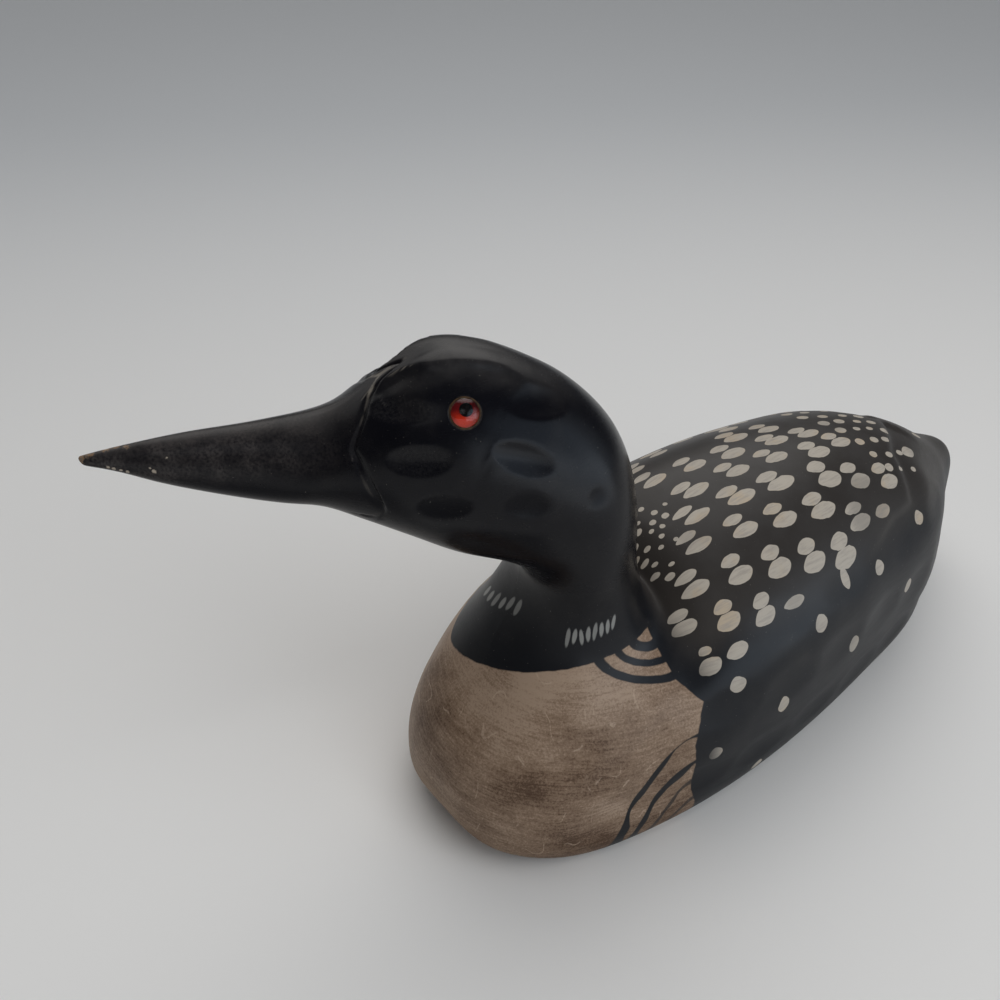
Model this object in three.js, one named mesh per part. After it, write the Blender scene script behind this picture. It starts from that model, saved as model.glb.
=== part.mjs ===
// A carved and painted wooden loon: one piece of wood with two glass eyes set into its head.
//
// Millimetres, +Z up. The bird faces -Y, and its left side is +X. The origin is the middle of the
// flat underside. "Aft" is along +Y, towards the tail. The bird is drawn with its head straight
// and the neck is then turned, as a carver leans the head to one side.

import * as THREE from 'three'

// Driving sizes of the wood
const BODY_LENGTH = 300
const BODY_HEIGHT = 100
const BODY_BREADTH = 120
const HEAD_HEIGHT = 96
const HEAD_BREADTH = 52
const BILL_LENGTH = 62
const BILL_BREADTH = 26
const HEAD_TURN = 27.5

// Driving sizes of the glass eyes and their sockets
const EYE_DIAMETER = 8
const EYE_DOME = 2.4
const EYE_SHANK = 3.2
const EYE_CLEARANCE = 0.3
const EYE_SINK = 0.5

// The cut that marks where the feathers end and the bill starts
const FEATHER_CUT_DEPTH = 1.1
const FEATHER_CUT_HALF_WIDTH = 1.3

// Fineness of the skin
const STEPS_TO_WAIST = 12
const STEPS_TO_FLAT = 11
const STEPS_OF_FLAT = 2
const EYE_FACETS = 24
const DOME_STEPS = 4

const radians = THREE.MathUtils.degToRad
const clamp = THREE.MathUtils.clamp
const lerp = THREE.MathUtils.lerp
const smoothstep = (x) => THREE.MathUtils.smoothstep(x, 0, 1)

// Where the neck is seated on the body, where the bill starts in front of that seat and above it,
// and where the upright axis lies that the neck turns about: shares of the body and the head.
const NECK_SEAT_AHEAD = 0.25
const NECK_SEAT_UP = 0.84
const BILL_ROOT_AHEAD = 0.867
const BILL_ROOT_UP = 0.7
const TURN_AXIS_AHEAD = 0.177

// Where each region of the bird starts, and the lengths that its stations are shares of.
const NECK_SEAT = { aft: -NECK_SEAT_AHEAD * BODY_LENGTH, up: NECK_SEAT_UP * BODY_HEIGHT }
const BILL_ROOT = {
  aft: NECK_SEAT.aft - BILL_ROOT_AHEAD * HEAD_HEIGHT,
  up: NECK_SEAT.up + BILL_ROOT_UP * HEAD_HEIGHT,
}
const REGIONS = {
  body: { aft: 0, up: 0, long: BODY_LENGTH, high: BODY_HEIGHT, halfBreadth: BODY_BREADTH / 2 },
  head: { ...NECK_SEAT, long: HEAD_HEIGHT, high: HEAD_HEIGHT, halfBreadth: HEAD_BREADTH / 2 },
  bill: { ...BILL_ROOT, long: BILL_LENGTH, high: BILL_LENGTH, halfBreadth: BILL_BREADTH / 2 },
}

// The stations of the bird from the stern to the tip of the bill. Each row gives its name, its
// region, the top of the section (aft, up), its foot (aft, up), its half breadth, how high up the
// section is widest, how much of its breadth is flat below, and the number of steps that the skin
// takes from it to the next station. All but the steps are per cent of the region's own sizes.
const STATIONS = [
  ['transom', 'body', [54.7, 50], [53.7, 34], 9, 55, 10, 2],
  ['stern', 'body', [53.7, 55], [52.7, 28], 17.5, 55, 10, 3],
  ['tail', 'body', [46.7, 64.5], [45.7, 8], 35, 55, 45, 3],
  ['rump', 'body', [37.5, 81], [37.3, 0], 59, 50, 60, 3],
  ['hips', 'body', [27.3, 92.5], [26.7, 0], 82.5, 48, 66, 3],
  ['loins', 'body', [16, 98.5], [15.3, 0], 91, 46, 68, 3],
  ['middle', 'body', [4.7, 101], [2.3, 0], 98, 45, 68, 3],
  ['wings', 'body', [-6, 99.5], [-10.3, 0], 100, 45, 68, 4],
  ['shoulder', 'body', [-13.2, 94], [-23.2, 0], 95, 47, 66, 3],
  ['crop', 'body', [-15.8, 88], [-35.3, 0], 83.5, 50, 55, 3],
  ['breast', 'body', [-16.8, 83.5], [-43.8, 12.5], 76.5, 54, 25, 3],
  ['bosom', 'body', [-17.5, 84], [-43.7, 43], 60, 56, 5, 3],
  ['collar', 'head', [20.3, 6.8], [-38, -14], 109.5, 54, 2, 3],
  ['neck', 'head', [15.6, 24.5], [-25.5, 7.8], 94, 52, 0, 3],
  ['throat', 'head', [13.5, 48], [-23.4, 22.4], 96, 50, 0, 3],
  ['nape', 'head', [6.8, 68.8], [-31.3, 28.6], 100, 50, 0, 5],
  ['cheek', 'head', [-9.4, 86.5], [-46.4, 34.4], 100, 50, 5, 7],
  ['crown', 'head', [-30.7, 97.4], [-60.4, 42.2], 96, 50, 5, 7],
  ['eye', 'head', [-48.4, 100.5], [-73, 49], 84.5, 48, 5, 6],
  ['brow', 'head', [-63.5, 92.7], [-84.4, 54.7], 67.5, 45, 5, 6],
  ['face', 'head', [-77.6, 83.9], [-95.8, 56.3], 50, 45, 5, 5],
  ['bill', 'bill', [-18, 17], [-35, -16.5], 69, 45, 5, 4],
  ['mid bill', 'bill', [-51, 14.8], [-61, -7.8], 48.5, 45, 5, 4],
  ['bill end', 'bill', [-80, 11.3], [-80, 0.3], 25, 45, 5, 3],
  ['bill tip', 'bill', [-96, 8.6], [-93.5, 4.6], 11, 45, 5, 0],
].map(([name, region, top, foot, breadth, waist, flat, steps]) =>
  ({ name, region, top, foot, breadth, waist, flat, steps }))
const place = (name) => STATIONS.findIndex((station) => station.name === name)

// Shares of the half girth, from the ridge of the back to the keel, at which a section is widest
// and at which its flat underside starts.
const GIRTH_AT_WAIST = 0.45
const GIRTH_AT_FLAT = 0.86
const UPPER_FULLNESS = 2.1
const LOWER_FULLNESS = 2
const FULLNESS_OF_A_FLAT = 0.75

// The neck turns between these two places, about an upright axis through its middle.
const TURN_FROM = place('bosom')
const TURN_TO = place('nape')
const TURN_AXIS_AFT = NECK_SEAT.aft - TURN_AXIS_AHEAD * HEAD_HEIGHT

// The eye's middle, as stations along the bird and as a share of the half girth.
const EYE_ALONG = place('eye') - 0.64
const EYE_ROUND = 0.259

// Marks that a gouge left in the wood. Each is a shallow oval dish: its middle as stations along
// and as a share of the half girth, its length, width and depth in per cent of the height of the
// head or the body, and its tilt in degrees, tail end up.
const HEAD_MARKS = [
  { along: place('eye') + 0.48, round: 0.237, length: 23, width: 9.4, depth: 1.25, tilt: 10 },
  { along: place('crown') + 0.79, round: 0.411, length: 22, width: 11, depth: 1.45, tilt: 0 },
  { along: place('crown') + 0.02, round: 0.519, length: 20, width: 11.5, depth: 1.35, tilt: 0 },
  { along: place('cheek') + 0.48, round: 0.163, length: 24, width: 12.5, depth: 1.45, tilt: -23 },
  { along: place('cheek') + 0.36, round: 0.331, length: 23, width: 11.5, depth: 1.45, tilt: -27 },
  { along: place('nape') + 0.98, round: 0.44, length: 17, width: 10.5, depth: 0.8, tilt: -10 },
  { along: place('nape') + 0.13, round: 0.318, length: 9.5, width: 8.5, depth: 0.5, tilt: 0 },
  { along: place('crown') + 0.85, round: 0.15, length: 36, width: 10, depth: 1.35, tilt: 4 },
  { along: place('nape') + 0.9, round: 0.6, length: 30, width: 12.5, depth: 1.25, tilt: -26 },
]

// Behind the wing tips a long hollow runs down each side of the tail.
const TAIL_MARK = { along: place('rump') + 0.1, round: 0.2, length: 56, width: 26, depth: 1.6, tilt: -31 }

// Two rows of long marks meet in a soft edge that runs low along each flank, and a third row
// lies higher up. The breast has two rows of broad ones. A row has a mark at every so many
// stations, from one place to another.
const BODY_ROWS = [
  { from: 2.6, to: 8.2, every: 0.9, round: 0.4, length: 38, width: 17, depth: 0.8, tilt: 4 },
  { from: 2.9, to: 9.4, every: 0.9, round: 0.525, length: 38, width: 17, depth: 0.9, tilt: 2 },
  { from: 3.8, to: 8, every: 1.1, round: 0.29, length: 36, width: 18, depth: 0.45, tilt: -8 },
  { from: 9.3, to: 11.4, every: 0.75, round: 0.55, length: 26, width: 20, depth: 0.5, tilt: 20 },
  { from: 9.6, to: 11.6, every: 0.8, round: 0.76, length: 26, width: 22, depth: 0.5, tilt: 0 },
]

function inMillimetres(station) {
  const region = REGIONS[station.region]
  return [
    region.aft + (station.top[0] / 100) * region.long,
    region.up + (station.top[1] / 100) * region.high,
    region.aft + (station.foot[0] / 100) * region.long,
    region.up + (station.foot[1] / 100) * region.high,
    (station.breadth / 100) * region.halfBreadth,
    station.waist / 100,
    station.flat / 100,
  ]
}
const ROWS = STATIONS.map(inMillimetres)

// The places of the skin's points down one side, closer together where the section is round.
function girthPlaces() {
  const spread = (from, to, steps) => Array.from({ length: steps }, (_, k) => lerp(from, to, k / steps))
  return [
    ...spread(0, GIRTH_AT_WAIST, STEPS_TO_WAIST),
    ...spread(GIRTH_AT_WAIST, GIRTH_AT_FLAT, STEPS_TO_FLAT),
    ...spread(GIRTH_AT_FLAT, 1, STEPS_OF_FLAT),
    1,
  ]
}

// A Catmull-Rom curve through the rows, at a place that need not be a whole station.
function rowAt(along) {
  const last = ROWS.length - 1
  const start = clamp(Math.floor(along), 0, last - 1)
  const t = along - start
  const [a, b, c, d] = [-1, 0, 1, 2].map((k) => ROWS[clamp(start + k, 0, last)])
  return b.map((value, k) => {
    const slope = (c[k] - a[k]) * t
    const bend = (2 * a[k] - 5 * b[k] + 4 * c[k] - d[k]) * t * t
    const twist = (3 * b[k] - a[k] - 3 * c[k] + d[k]) * t * t * t
    return value + (slope + bend + twist) / 2
  })
}

// A quarter of an oval that is rounder or squarer than an ellipse.
const squared = (value, fullness) => Math.max(value, 0) ** (2 / fullness)

// The half section at one place: how far out and how high a point lies, as shares of the
// section's half breadth and height, at a share of the half girth.
function sectionShares(round, waist, flat) {
  if (round < GIRTH_AT_WAIST) {
    const angle = (Math.PI / 2) * (1 - round / GIRTH_AT_WAIST)
    const out = squared(Math.cos(angle), UPPER_FULLNESS)
    return [out, waist + (1 - waist) * squared(Math.sin(angle), UPPER_FULLNESS)]
  }
  if (round < GIRTH_AT_FLAT) {
    const fullness = LOWER_FULLNESS + FULLNESS_OF_A_FLAT * flat
    const angle = (Math.PI / 2) * ((round - GIRTH_AT_WAIST) / (GIRTH_AT_FLAT - GIRTH_AT_WAIST))
    const out = flat + (1 - flat) * squared(Math.cos(angle), fullness)
    return [out, waist * (1 - squared(Math.sin(angle), fullness))]
  }
  return [flat * (1 - (round - GIRTH_AT_FLAT) / (1 - GIRTH_AT_FLAT)), 0]
}

// A point of the bare form on the left side, before it is carved and before the neck is turned.
function formPoint(along, round) {
  const [topAft, topUp, footAft, footUp, halfBreadth, waist, flat] = rowAt(along)
  const [out, high] = sectionShares(round, waist, flat)
  return new THREE.Vector3(
    halfBreadth * out,
    lerp(footAft, topAft, high),
    Math.max(lerp(footUp, topUp, high), 0),
  )
}

// The three directions at a point of the form: aft along the skin, up along it, and out of it.
function formFrame(along, round) {
  const last = ROWS.length - 1
  const small = 1e-3
  const back = formPoint(Math.max(along - small, 0), round)
  const alongSkin = formPoint(Math.min(along + small, last), round).sub(back)
  const above = formPoint(along, clamp(round - small, small, 1 - 3 * small))
  const roundSkin = formPoint(along, clamp(round + small, 3 * small, 1 - small)).sub(above)
  const out = alongSkin.cross(roundSkin).normalize()
  const aft = new THREE.Vector3(0, 0, 1).cross(out)
  if (aft.lengthSq() < small) aft.set(0, 1, 0)
  aft.normalize()
  return { aft, up: out.clone().cross(aft), out }
}

function gougeMark({ along, round, length, width, depth, tilt }, height) {
  const frame = formFrame(along, round)
  const turn = radians(tilt)
  return {
    middle: formPoint(along, round),
    lengthwise: frame.aft.clone().multiplyScalar(Math.cos(turn)).addScaledVector(frame.up, Math.sin(turn)),
    crosswise: frame.up.clone().multiplyScalar(Math.cos(turn)).addScaledVector(frame.aft, -Math.sin(turn)),
    halfLength: (length / 200) * height,
    halfWidth: (width / 200) * height,
    depth: (depth / 100) * height,
  }
}

function rowOfMarks({ from, to, every, ...mark }) {
  const count = Math.floor((to - from) / every) + 1
  return Array.from({ length: count }, (_, k) => gougeMark({ ...mark, along: from + k * every }, BODY_HEIGHT))
}

const MARKS = [
  ...HEAD_MARKS.map((mark) => gougeMark(mark, HEAD_HEIGHT)),
  gougeMark(TAIL_MARK, BODY_HEIGHT),
  ...BODY_ROWS.flatMap(rowOfMarks),
]

// How deep the gouge went at a point. Where two marks meet, the deeper one shows.
function gougedDepth(point) {
  const offset = new THREE.Vector3()
  return Math.max(0, ...MARKS.map((mark) => {
    offset.subVectors(point, mark.middle)
    const a = offset.dot(mark.lengthwise) / mark.halfLength
    const b = offset.dot(mark.crosswise) / mark.halfWidth
    return mark.depth * smoothstep(1 - a * a - b * b)
  }))
}

// The edge of the feathers round the root of the bill: how far its cut lies from the place
// where it reaches furthest forward, in stations, at a share of the half girth.
const FEATHER_POINT = place('brow') + 0.28
const FEATHER_POINT_ROUND = 0.33
const FEATHER_END_ROUND = 0.6
const FEATHER_RUN_BACK = 1.4
const FEATHER_CROWN_ROUND = 0.1
const FEATHER_CROWN_BACK = 0.85

function featherSweep(round) {
  const below = clamp((round - FEATHER_POINT_ROUND) / (FEATHER_END_ROUND - FEATHER_POINT_ROUND), 0, 1)
  const above = clamp(1 - round / FEATHER_CROWN_ROUND, 0, 1)
  return -FEATHER_RUN_BACK * below - FEATHER_CROWN_BACK * above * above
}

// The cut runs from the crown to the corner of the mouth and fades below it.
function featherCutDepth(round) {
  return FEATHER_CUT_DEPTH * (1 - smoothstep((round - FEATHER_END_ROUND) / 0.1))
}

// A point of the carved skin, with the neck still straight.
function carvedPoint(along, round, cut = 0) {
  const point = formPoint(along, round)
  const { out } = formFrame(along, round)
  const onUnderside = point.z < 1e-6 && round > GIRTH_AT_WAIST
  if (onUnderside) return point
  point.addScaledVector(out, -gougedDepth(point) - cut)
  point.z = Math.max(point.z, 0)
  return point
}

// The neck is turned to the bird's right by a share that grows from its foot to the nape.
function turned(point, along) {
  const share = smoothstep((along - TURN_FROM) / (TURN_TO - TURN_FROM))
  const axis = new THREE.Vector3(0, TURN_AXIS_AFT, 0)
  return point.sub(axis).applyAxisAngle(new THREE.Vector3(0, 0, 1), -radians(HEAD_TURN) * share).add(axis)
}

// The places of the skin's rings. One more ring lies in the feather cut and one at each lip.
function ringPlaces() {
  const places = STATIONS.flatMap(({ steps }, k) => Array.from({ length: steps }, (_, s) => k + s / steps))
  places.push(ROWS.length - 1)
  const stationLength = formPoint(FEATHER_POINT, FEATHER_POINT_ROUND)
    .distanceTo(formPoint(FEATHER_POINT + 1, FEATHER_POINT_ROUND))
  const lip = FEATHER_CUT_HALF_WIDTH / stationLength
  const clearOfCut = places.filter((at) => Math.abs(at - FEATHER_POINT) > 1.6 * lip)
  const cutRings = [FEATHER_POINT - lip, FEATHER_POINT, FEATHER_POINT + lip]
  return [...clearOfCut, ...cutRings].sort((a, b) => a - b)
}

// Rings near the feather cut lean with it, so that the cut follows the grid of the skin.
const FEATHER_REACH = 3
function leaned(along, round) {
  const nearness = clamp(1 - Math.abs(along - FEATHER_POINT) / FEATHER_REACH, 0, 1)
  return along + nearness * featherSweep(round)
}

// The eye's socket is a round hole in the grid of the skin. Its frame stands on the form.
const SOCKET_RADIUS = EYE_DIAMETER / 2 + EYE_CLEARANCE
const SOCKET_DEPTH = EYE_SINK + EYE_SHANK + EYE_CLEARANCE
const EYE_FRAME = { middle: formPoint(EYE_ALONG, EYE_ROUND), ...formFrame(EYE_ALONG, EYE_ROUND) }
const RIM_LOOP = 2
const LAST_LOOP = 6
const GIRTH_STEP = GIRTH_AT_WAIST / STEPS_TO_WAIST
const LOOP_STEP = EYE_FRAME.middle.distanceTo(formPoint(EYE_ALONG, EYE_ROUND + GIRTH_STEP))

function toEyeFrame(point) {
  const offset = point.clone().sub(EYE_FRAME.middle)
  return new THREE.Vector3(offset.dot(EYE_FRAME.aft), offset.dot(EYE_FRAME.up), offset.dot(EYE_FRAME.out))
}

function fromEyeFrame(local) {
  return EYE_FRAME.middle.clone()
    .addScaledVector(EYE_FRAME.aft, local.x)
    .addScaledVector(EYE_FRAME.up, local.y)
    .addScaledVector(EYE_FRAME.out, local.z)
}

// Moves a place on the form until it stands under a wanted point of the eye's frame.
function placeUnder(x, y, guess) {
  const at = { ...guess }
  const small = 1e-3
  for (let pass = 0; pass < 8; pass += 1) {
    const here = toEyeFrame(formPoint(at.along, at.round))
    const onward = toEyeFrame(formPoint(at.along + small, at.round)).sub(here).divideScalar(small)
    const down = toEyeFrame(formPoint(at.along, at.round + small)).sub(here).divideScalar(small)
    const size = onward.x * down.y - onward.y * down.x
    const [missX, missY] = [x - here.x, y - here.y]
    at.along += (missX * down.y - missY * down.x) / size
    at.round += (onward.x * missY - onward.y * missX) / size
  }
  return at
}

// The loops of the grid round the eye are drawn into circles: the rim loop wholly, and each
// loop further out a little less.
function aroundTheEye(step, point, at) {
  const loop = Math.max(Math.abs(step), Math.abs(point))
  if (loop < RIM_LOOP || loop >= LAST_LOOP) return at
  const onFrontOrBack = Math.abs(step) > Math.abs(point)
  const swing = (Math.PI / 4) * (onFrontOrBack ? point / step : step / point)
  const [x, y] = onFrontOrBack ? [Math.cos(swing) * Math.sign(step), Math.sin(swing) * Math.sign(step)]
    : [Math.sin(swing) * Math.sign(point), Math.cos(swing) * Math.sign(point)]
  const radius = SOCKET_RADIUS + (loop - RIM_LOOP) * LOOP_STEP
  const pull = 1 - smoothstep((loop - RIM_LOOP) / (LAST_LOOP - RIM_LOOP))
  const here = toEyeFrame(formPoint(at.along, at.round))
  // Stations run forward and the girth runs down, against the eye frame's aft and up.
  return placeUnder(lerp(here.x, -x * radius, pull), lerp(here.y, -y * radius, pull), at)
}

// The skin of the left side, ring by ring, from the ridge of the back to the keel.
function leftSkin() {
  const rings = ringPlaces()
  const nearest = (values, wanted) => values.reduce((best, value, k) =>
    (Math.abs(value - wanted) < Math.abs(values[best] - wanted) ? k : best), 0)
  const rounds = girthPlaces()
  const eyeRing = nearest(rings, EYE_ALONG)
  const eyePoint = nearest(rounds, EYE_ROUND)
  const grid = rings.map((ring, i) => rounds.map((round, j) => {
    const at = aroundTheEye(i - eyeRing, j - eyePoint, { along: leaned(ring, round), round })
    const cut = ring === FEATHER_POINT ? featherCutDepth(round) : 0
    const straight = carvedPoint(at.along, at.round, cut)
    return { straight, along: at.along }
  }))
  const inSocket = (i, j) => Math.max(Math.abs(i - eyeRing), Math.abs(j - eyePoint)) < RIM_LOOP
  const rimAt = []
  const reach = RIM_LOOP
  for (let k = -reach; k < reach; k += 1) rimAt.push([eyeRing + k, eyePoint - reach])
  for (let k = -reach; k < reach; k += 1) rimAt.push([eyeRing + reach, eyePoint + k])
  for (let k = reach; k > -reach; k -= 1) rimAt.push([eyeRing + k, eyePoint + reach])
  for (let k = reach; k > -reach; k -= 1) rimAt.push([eyeRing - reach, eyePoint + k])
  return { grid, inSocket, rimAt }
}

// Gathers points and faces of one closed mesh. Faces run anticlockwise seen from outside.
class MeshMaker {
  constructor() {
    this.places = []
    this.faces = []
  }

  point(vector) {
    this.places.push(vector.x, vector.y, vector.z)
    return this.places.length / 3 - 1
  }

  triangle(a, b, c) {
    this.faces.push(a, b, c)
  }

  quad(a, b, c, d) {
    this.triangle(a, b, c)
    this.triangle(a, c, d)
  }

  fan(loop, middle) {
    loop.forEach((at, k) => this.triangle(at, loop[(k + 1) % loop.length], middle))
  }

  geometry() {
    const geometry = new THREE.BufferGeometry()
    geometry.setAttribute('position', new THREE.Float32BufferAttribute(this.places, 3))
    geometry.setIndex(this.faces)
    geometry.computeVertexNormals()
    return geometry
  }
}

function middleOf(points) {
  return points.reduce((sum, point) => sum.add(point), new THREE.Vector3()).divideScalar(points.length)
}

const mirrored = (point) => new THREE.Vector3(-point.x, point.y, point.z)

function carvedWood() {
  const { grid, inSocket, rimAt } = leftSkin()
  const maker = new MeshMaker()
  const keel = grid[0].length - 1
  // Each ring runs down the left side and up the right side.
  const rings = grid.map((row) => {
    const left = row.map(({ straight, along }) => ({ straight, along, side: 1 }))
    const right = row.slice(1, -1).reverse().map(({ straight, along }) => ({ straight, along, side: -1 }))
    return [...left, ...right].map(({ straight, along, side }) =>
      turned(side > 0 ? straight.clone() : mirrored(straight), along))
  })
  const around = rings[0].length
  const columnOf = (j, side) => (side > 0 ? j : (around - j) % around)
  const insideSocket = (i, j) => inSocket(i, j) || inSocket(i, around - j)
  const index = rings.map((ring, i) => ring.map((point, j) => (insideSocket(i, j) ? -1 : maker.point(point))))

  for (let i = 0; i < rings.length - 1; i += 1) {
    for (let j = 0; j < around; j += 1) {
      const next = (j + 1) % around
      const corners = [index[i][j], index[i + 1][j], index[i + 1][next], index[i][next]]
      if (corners.includes(-1)) continue
      const [a, b, c, d] = corners
      // The diagonals of the right side mirror those of the left.
      if (j < keel) maker.quad(a, b, c, d)
      else maker.quad(b, c, d, a)
    }
  }

  for (const side of [1, -1]) {
    const flip = (point) => (side > 0 ? point : mirrored(point))
    const rim = rimAt.map(([i, j]) => index[i][columnOf(j, side)])
    const floorPoints = rimAt.map(([i, j]) => {
      const local = toEyeFrame(grid[i][j].straight)
      return fromEyeFrame(new THREE.Vector3(local.x, local.y, -SOCKET_DEPTH))
    })
    const onFloor = (point) => maker.point(turned(flip(point.clone()), EYE_ALONG))
    const floor = floorPoints.map(onFloor)
    const middle = onFloor(middleOf(floorPoints))
    rim.forEach((at, k) => {
      const next = (k + 1) % rim.length
      if (side > 0) maker.quad(at, rim[next], floor[next], floor[k])
      else maker.quad(at, floor[k], floor[next], rim[next])
    })
    maker.fan(side > 0 ? floor : [...floor].reverse(), middle)
  }

  const stern = index[0]
  const tip = index[rings.length - 1]
  maker.fan(stern, maker.point(middleOf(rings[0])))
  maker.fan([...tip].reverse(), maker.point(middleOf(rings[rings.length - 1])))
  return maker.geometry()
}

// A glass eye: a shank that drops into the socket and a domed front. It is turned about its own
// axis, with its rim at height zero and its dome up.
function glassEye() {
  const radius = EYE_DIAMETER / 2
  const dome = Array.from({ length: DOME_STEPS + 1 }, (_, k) => {
    const angle = (Math.PI / 2) * (k / DOME_STEPS)
    return new THREE.Vector2(k === DOME_STEPS ? 0 : radius * Math.cos(angle), EYE_DOME * Math.sin(angle))
  })
  const profile = [new THREE.Vector2(0, -EYE_SHANK), new THREE.Vector2(radius, -EYE_SHANK), ...dome]
  return new THREE.LatheGeometry(profile, EYE_FACETS)
}

const paintedWood = new THREE.MeshStandardMaterial({ color: 0x1b1c20, roughness: 0.42, metalness: 0 })
const redGlass = new THREE.MeshStandardMaterial({ color: 0xb5281b, roughness: 0.05, metalness: 0 })

const loon = new THREE.Group()

const wood = new THREE.Mesh(carvedWood(), paintedWood)
wood.name = 'carved_loon'
loon.add(wood)

for (const [name, side] of [['left_eye', 1], ['right_eye', -1]]) {
  const flip = (vector) => (side > 0 ? vector.clone() : mirrored(vector))
  const seat = fromEyeFrame(new THREE.Vector3(0, 0, -EYE_SINK))
  const spin = new THREE.Quaternion().setFromAxisAngle(new THREE.Vector3(0, 0, 1), -radians(HEAD_TURN))
  const eye = new THREE.Mesh(glassEye(), redGlass)
  eye.name = name
  eye.position.copy(turned(flip(seat), EYE_ALONG))
  eye.quaternion.setFromUnitVectors(new THREE.Vector3(0, 1, 0), flip(EYE_FRAME.out).applyQuaternion(spin))
  loon.add(eye)
}

export default loon
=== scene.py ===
"""The looks of a carved and painted wooden loon with glass eyes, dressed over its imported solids.

Blender works in metres, +Z up. The bird faces -Y, its left side is +X, and its head is turned to
its right. Places and sizes of the carving and the paint are written in millimetres. "Aft" is
along +Y, towards the tail. The head's own places are written as if the head looked straight on,
and HEAD turns them to where the carver has put them.
"""

import logging
import math
from dataclasses import dataclass
from enum import Enum
from typing import ClassVar, Iterable, Sequence, Tuple, Union

import bmesh
import bpy
import numpy as np
from mathutils import Matrix, Vector


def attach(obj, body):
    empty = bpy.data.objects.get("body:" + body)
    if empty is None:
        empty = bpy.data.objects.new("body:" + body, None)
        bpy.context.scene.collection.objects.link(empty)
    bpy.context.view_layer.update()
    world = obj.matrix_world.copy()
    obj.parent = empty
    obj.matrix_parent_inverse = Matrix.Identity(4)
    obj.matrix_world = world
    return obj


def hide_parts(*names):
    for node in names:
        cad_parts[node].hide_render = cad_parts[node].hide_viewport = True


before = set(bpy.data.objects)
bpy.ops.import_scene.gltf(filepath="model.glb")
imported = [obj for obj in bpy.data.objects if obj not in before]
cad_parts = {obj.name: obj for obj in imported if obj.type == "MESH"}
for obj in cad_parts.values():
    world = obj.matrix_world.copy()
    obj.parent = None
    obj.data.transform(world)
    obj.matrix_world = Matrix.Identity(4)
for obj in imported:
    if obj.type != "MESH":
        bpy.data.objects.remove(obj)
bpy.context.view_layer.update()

LOG = logging.getLogger("loon")
MM = 0.001
ROOT = "root"

Place = Tuple[float, float, float]
Colour = Tuple[float, float, float]
Span = Tuple[float, float]


def metres(place: Sequence[float]) -> Vector:
    """Turns a place in millimetres into a Blender vector in metres."""
    return Vector([value * MM for value in place])


def smooth_share(values: np.ndarray) -> np.ndarray:
    """The smoothstep curve of values, held between 0 and 1."""
    held = np.clip(values, 0.0, 1.0)
    return held * held * (3.0 - 2.0 * held)


def smooth_step(values: np.ndarray, span: Span) -> np.ndarray:
    """A smooth step over values, from 0 at the span's first end to 1 at its second."""
    return smooth_share((values - span[0]) / (span[1] - span[0]))


def to_left(points: np.ndarray, normals: np.ndarray) -> Tuple[np.ndarray, np.ndarray]:
    """Mirrors the places on the right side, and the directions there, to the left side."""
    flip = np.where(points[:, :1] < 0.0, [-1.0, 1.0, 1.0], 1.0)
    return points * flip, normals * flip


def skin_points(mesh: bpy.types.Mesh) -> Tuple[np.ndarray, np.ndarray]:
    """The places of a mesh's vertices in millimetres, and the directions out of it there.

    Args:
        mesh: the mesh to read.

    Returns:
        The places and the directions, as rows of x, y, z.
    """
    places, normals = np.empty(len(mesh.vertices) * 3), np.empty(len(mesh.vertices) * 3)
    mesh.vertices.foreach_get("co", places)
    mesh.vertices.foreach_get("normal", normals)
    return places.reshape(-1, 3) / MM, normals.reshape(-1, 3)


def nearest_on_line(points: np.ndarray,
                    nodes: np.ndarray) -> Tuple[np.ndarray, np.ndarray, np.ndarray]:
    """Finds the nearest place of a bent line for each point.

    Args:
        points: rows of x, y, z.
        nodes: the line's corners, as rows of x, y, z.

    Returns:
        The distance to the line, the share of its length at which it is nearest, and the offset
        from it, for each point.
    """
    steps = np.diff(nodes, axis=0)
    lengths = np.linalg.norm(steps, axis=1)
    starts = np.concatenate([[0.0], np.cumsum(lengths)])
    best = np.full(len(points), np.inf)
    where = np.zeros(len(points))
    offsets = np.zeros_like(points)
    for k, step in enumerate(steps):
        share = np.clip((points - nodes[k]) @ step / (lengths[k] ** 2), 0.0, 1.0)
        offset = points - nodes[k] - share[:, None] * step
        away = np.linalg.norm(offset, axis=1)
        closer = away < best
        best[closer] = away[closer]
        offsets[closer] = offset[closer]
        where[closer] = ((starts[k] + share * lengths[k]) / starts[-1])[closer]
    return best, where, offsets


def line_fade(where: np.ndarray, ends: Span) -> np.ndarray:
    """1 along a line, falling to 0 over a share of its length at each end.

    Args:
        where: shares of the line's length.
        ends: the share that it takes to run out at each end.

    Returns:
        One number from 0 to 1 for each share.
    """
    shortest = 1e-3
    first, last = (max(end, shortest) for end in ends)
    fade = np.minimum(where / first, (1.0 - where) / last)
    return np.clip(fade, 0.0, 1.0)


class Side(Enum):
    """The two sides of the bird. The value is the sign of X."""

    LEFT = 1
    RIGHT = -1

    @property
    def word(self) -> str:
        """The side's name in piece names."""
        return self.name.lower()


@dataclass(frozen=True)
class TurnedHead:
    """The head, turned about an upright axis through the neck."""

    turn: float = math.radians(-27.5)
    axis_aft: float = -92.0

    def straightened(self, points: np.ndarray) -> np.ndarray:
        """Takes places on the turned head back to a head that looks straight on.

        Args:
            points: rows of x, y, z in millimetres.

        Returns:
            The same rows in the head's own frame.
        """
        cosine, sine = math.cos(-self.turn), math.sin(-self.turn)
        x, y = points[:, 0], points[:, 1] - self.axis_aft
        aft = sine * x + cosine * y + self.axis_aft
        return np.stack([cosine * x - sine * y, aft, points[:, 2]], axis=1)


HEAD = TurnedHead()


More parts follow.
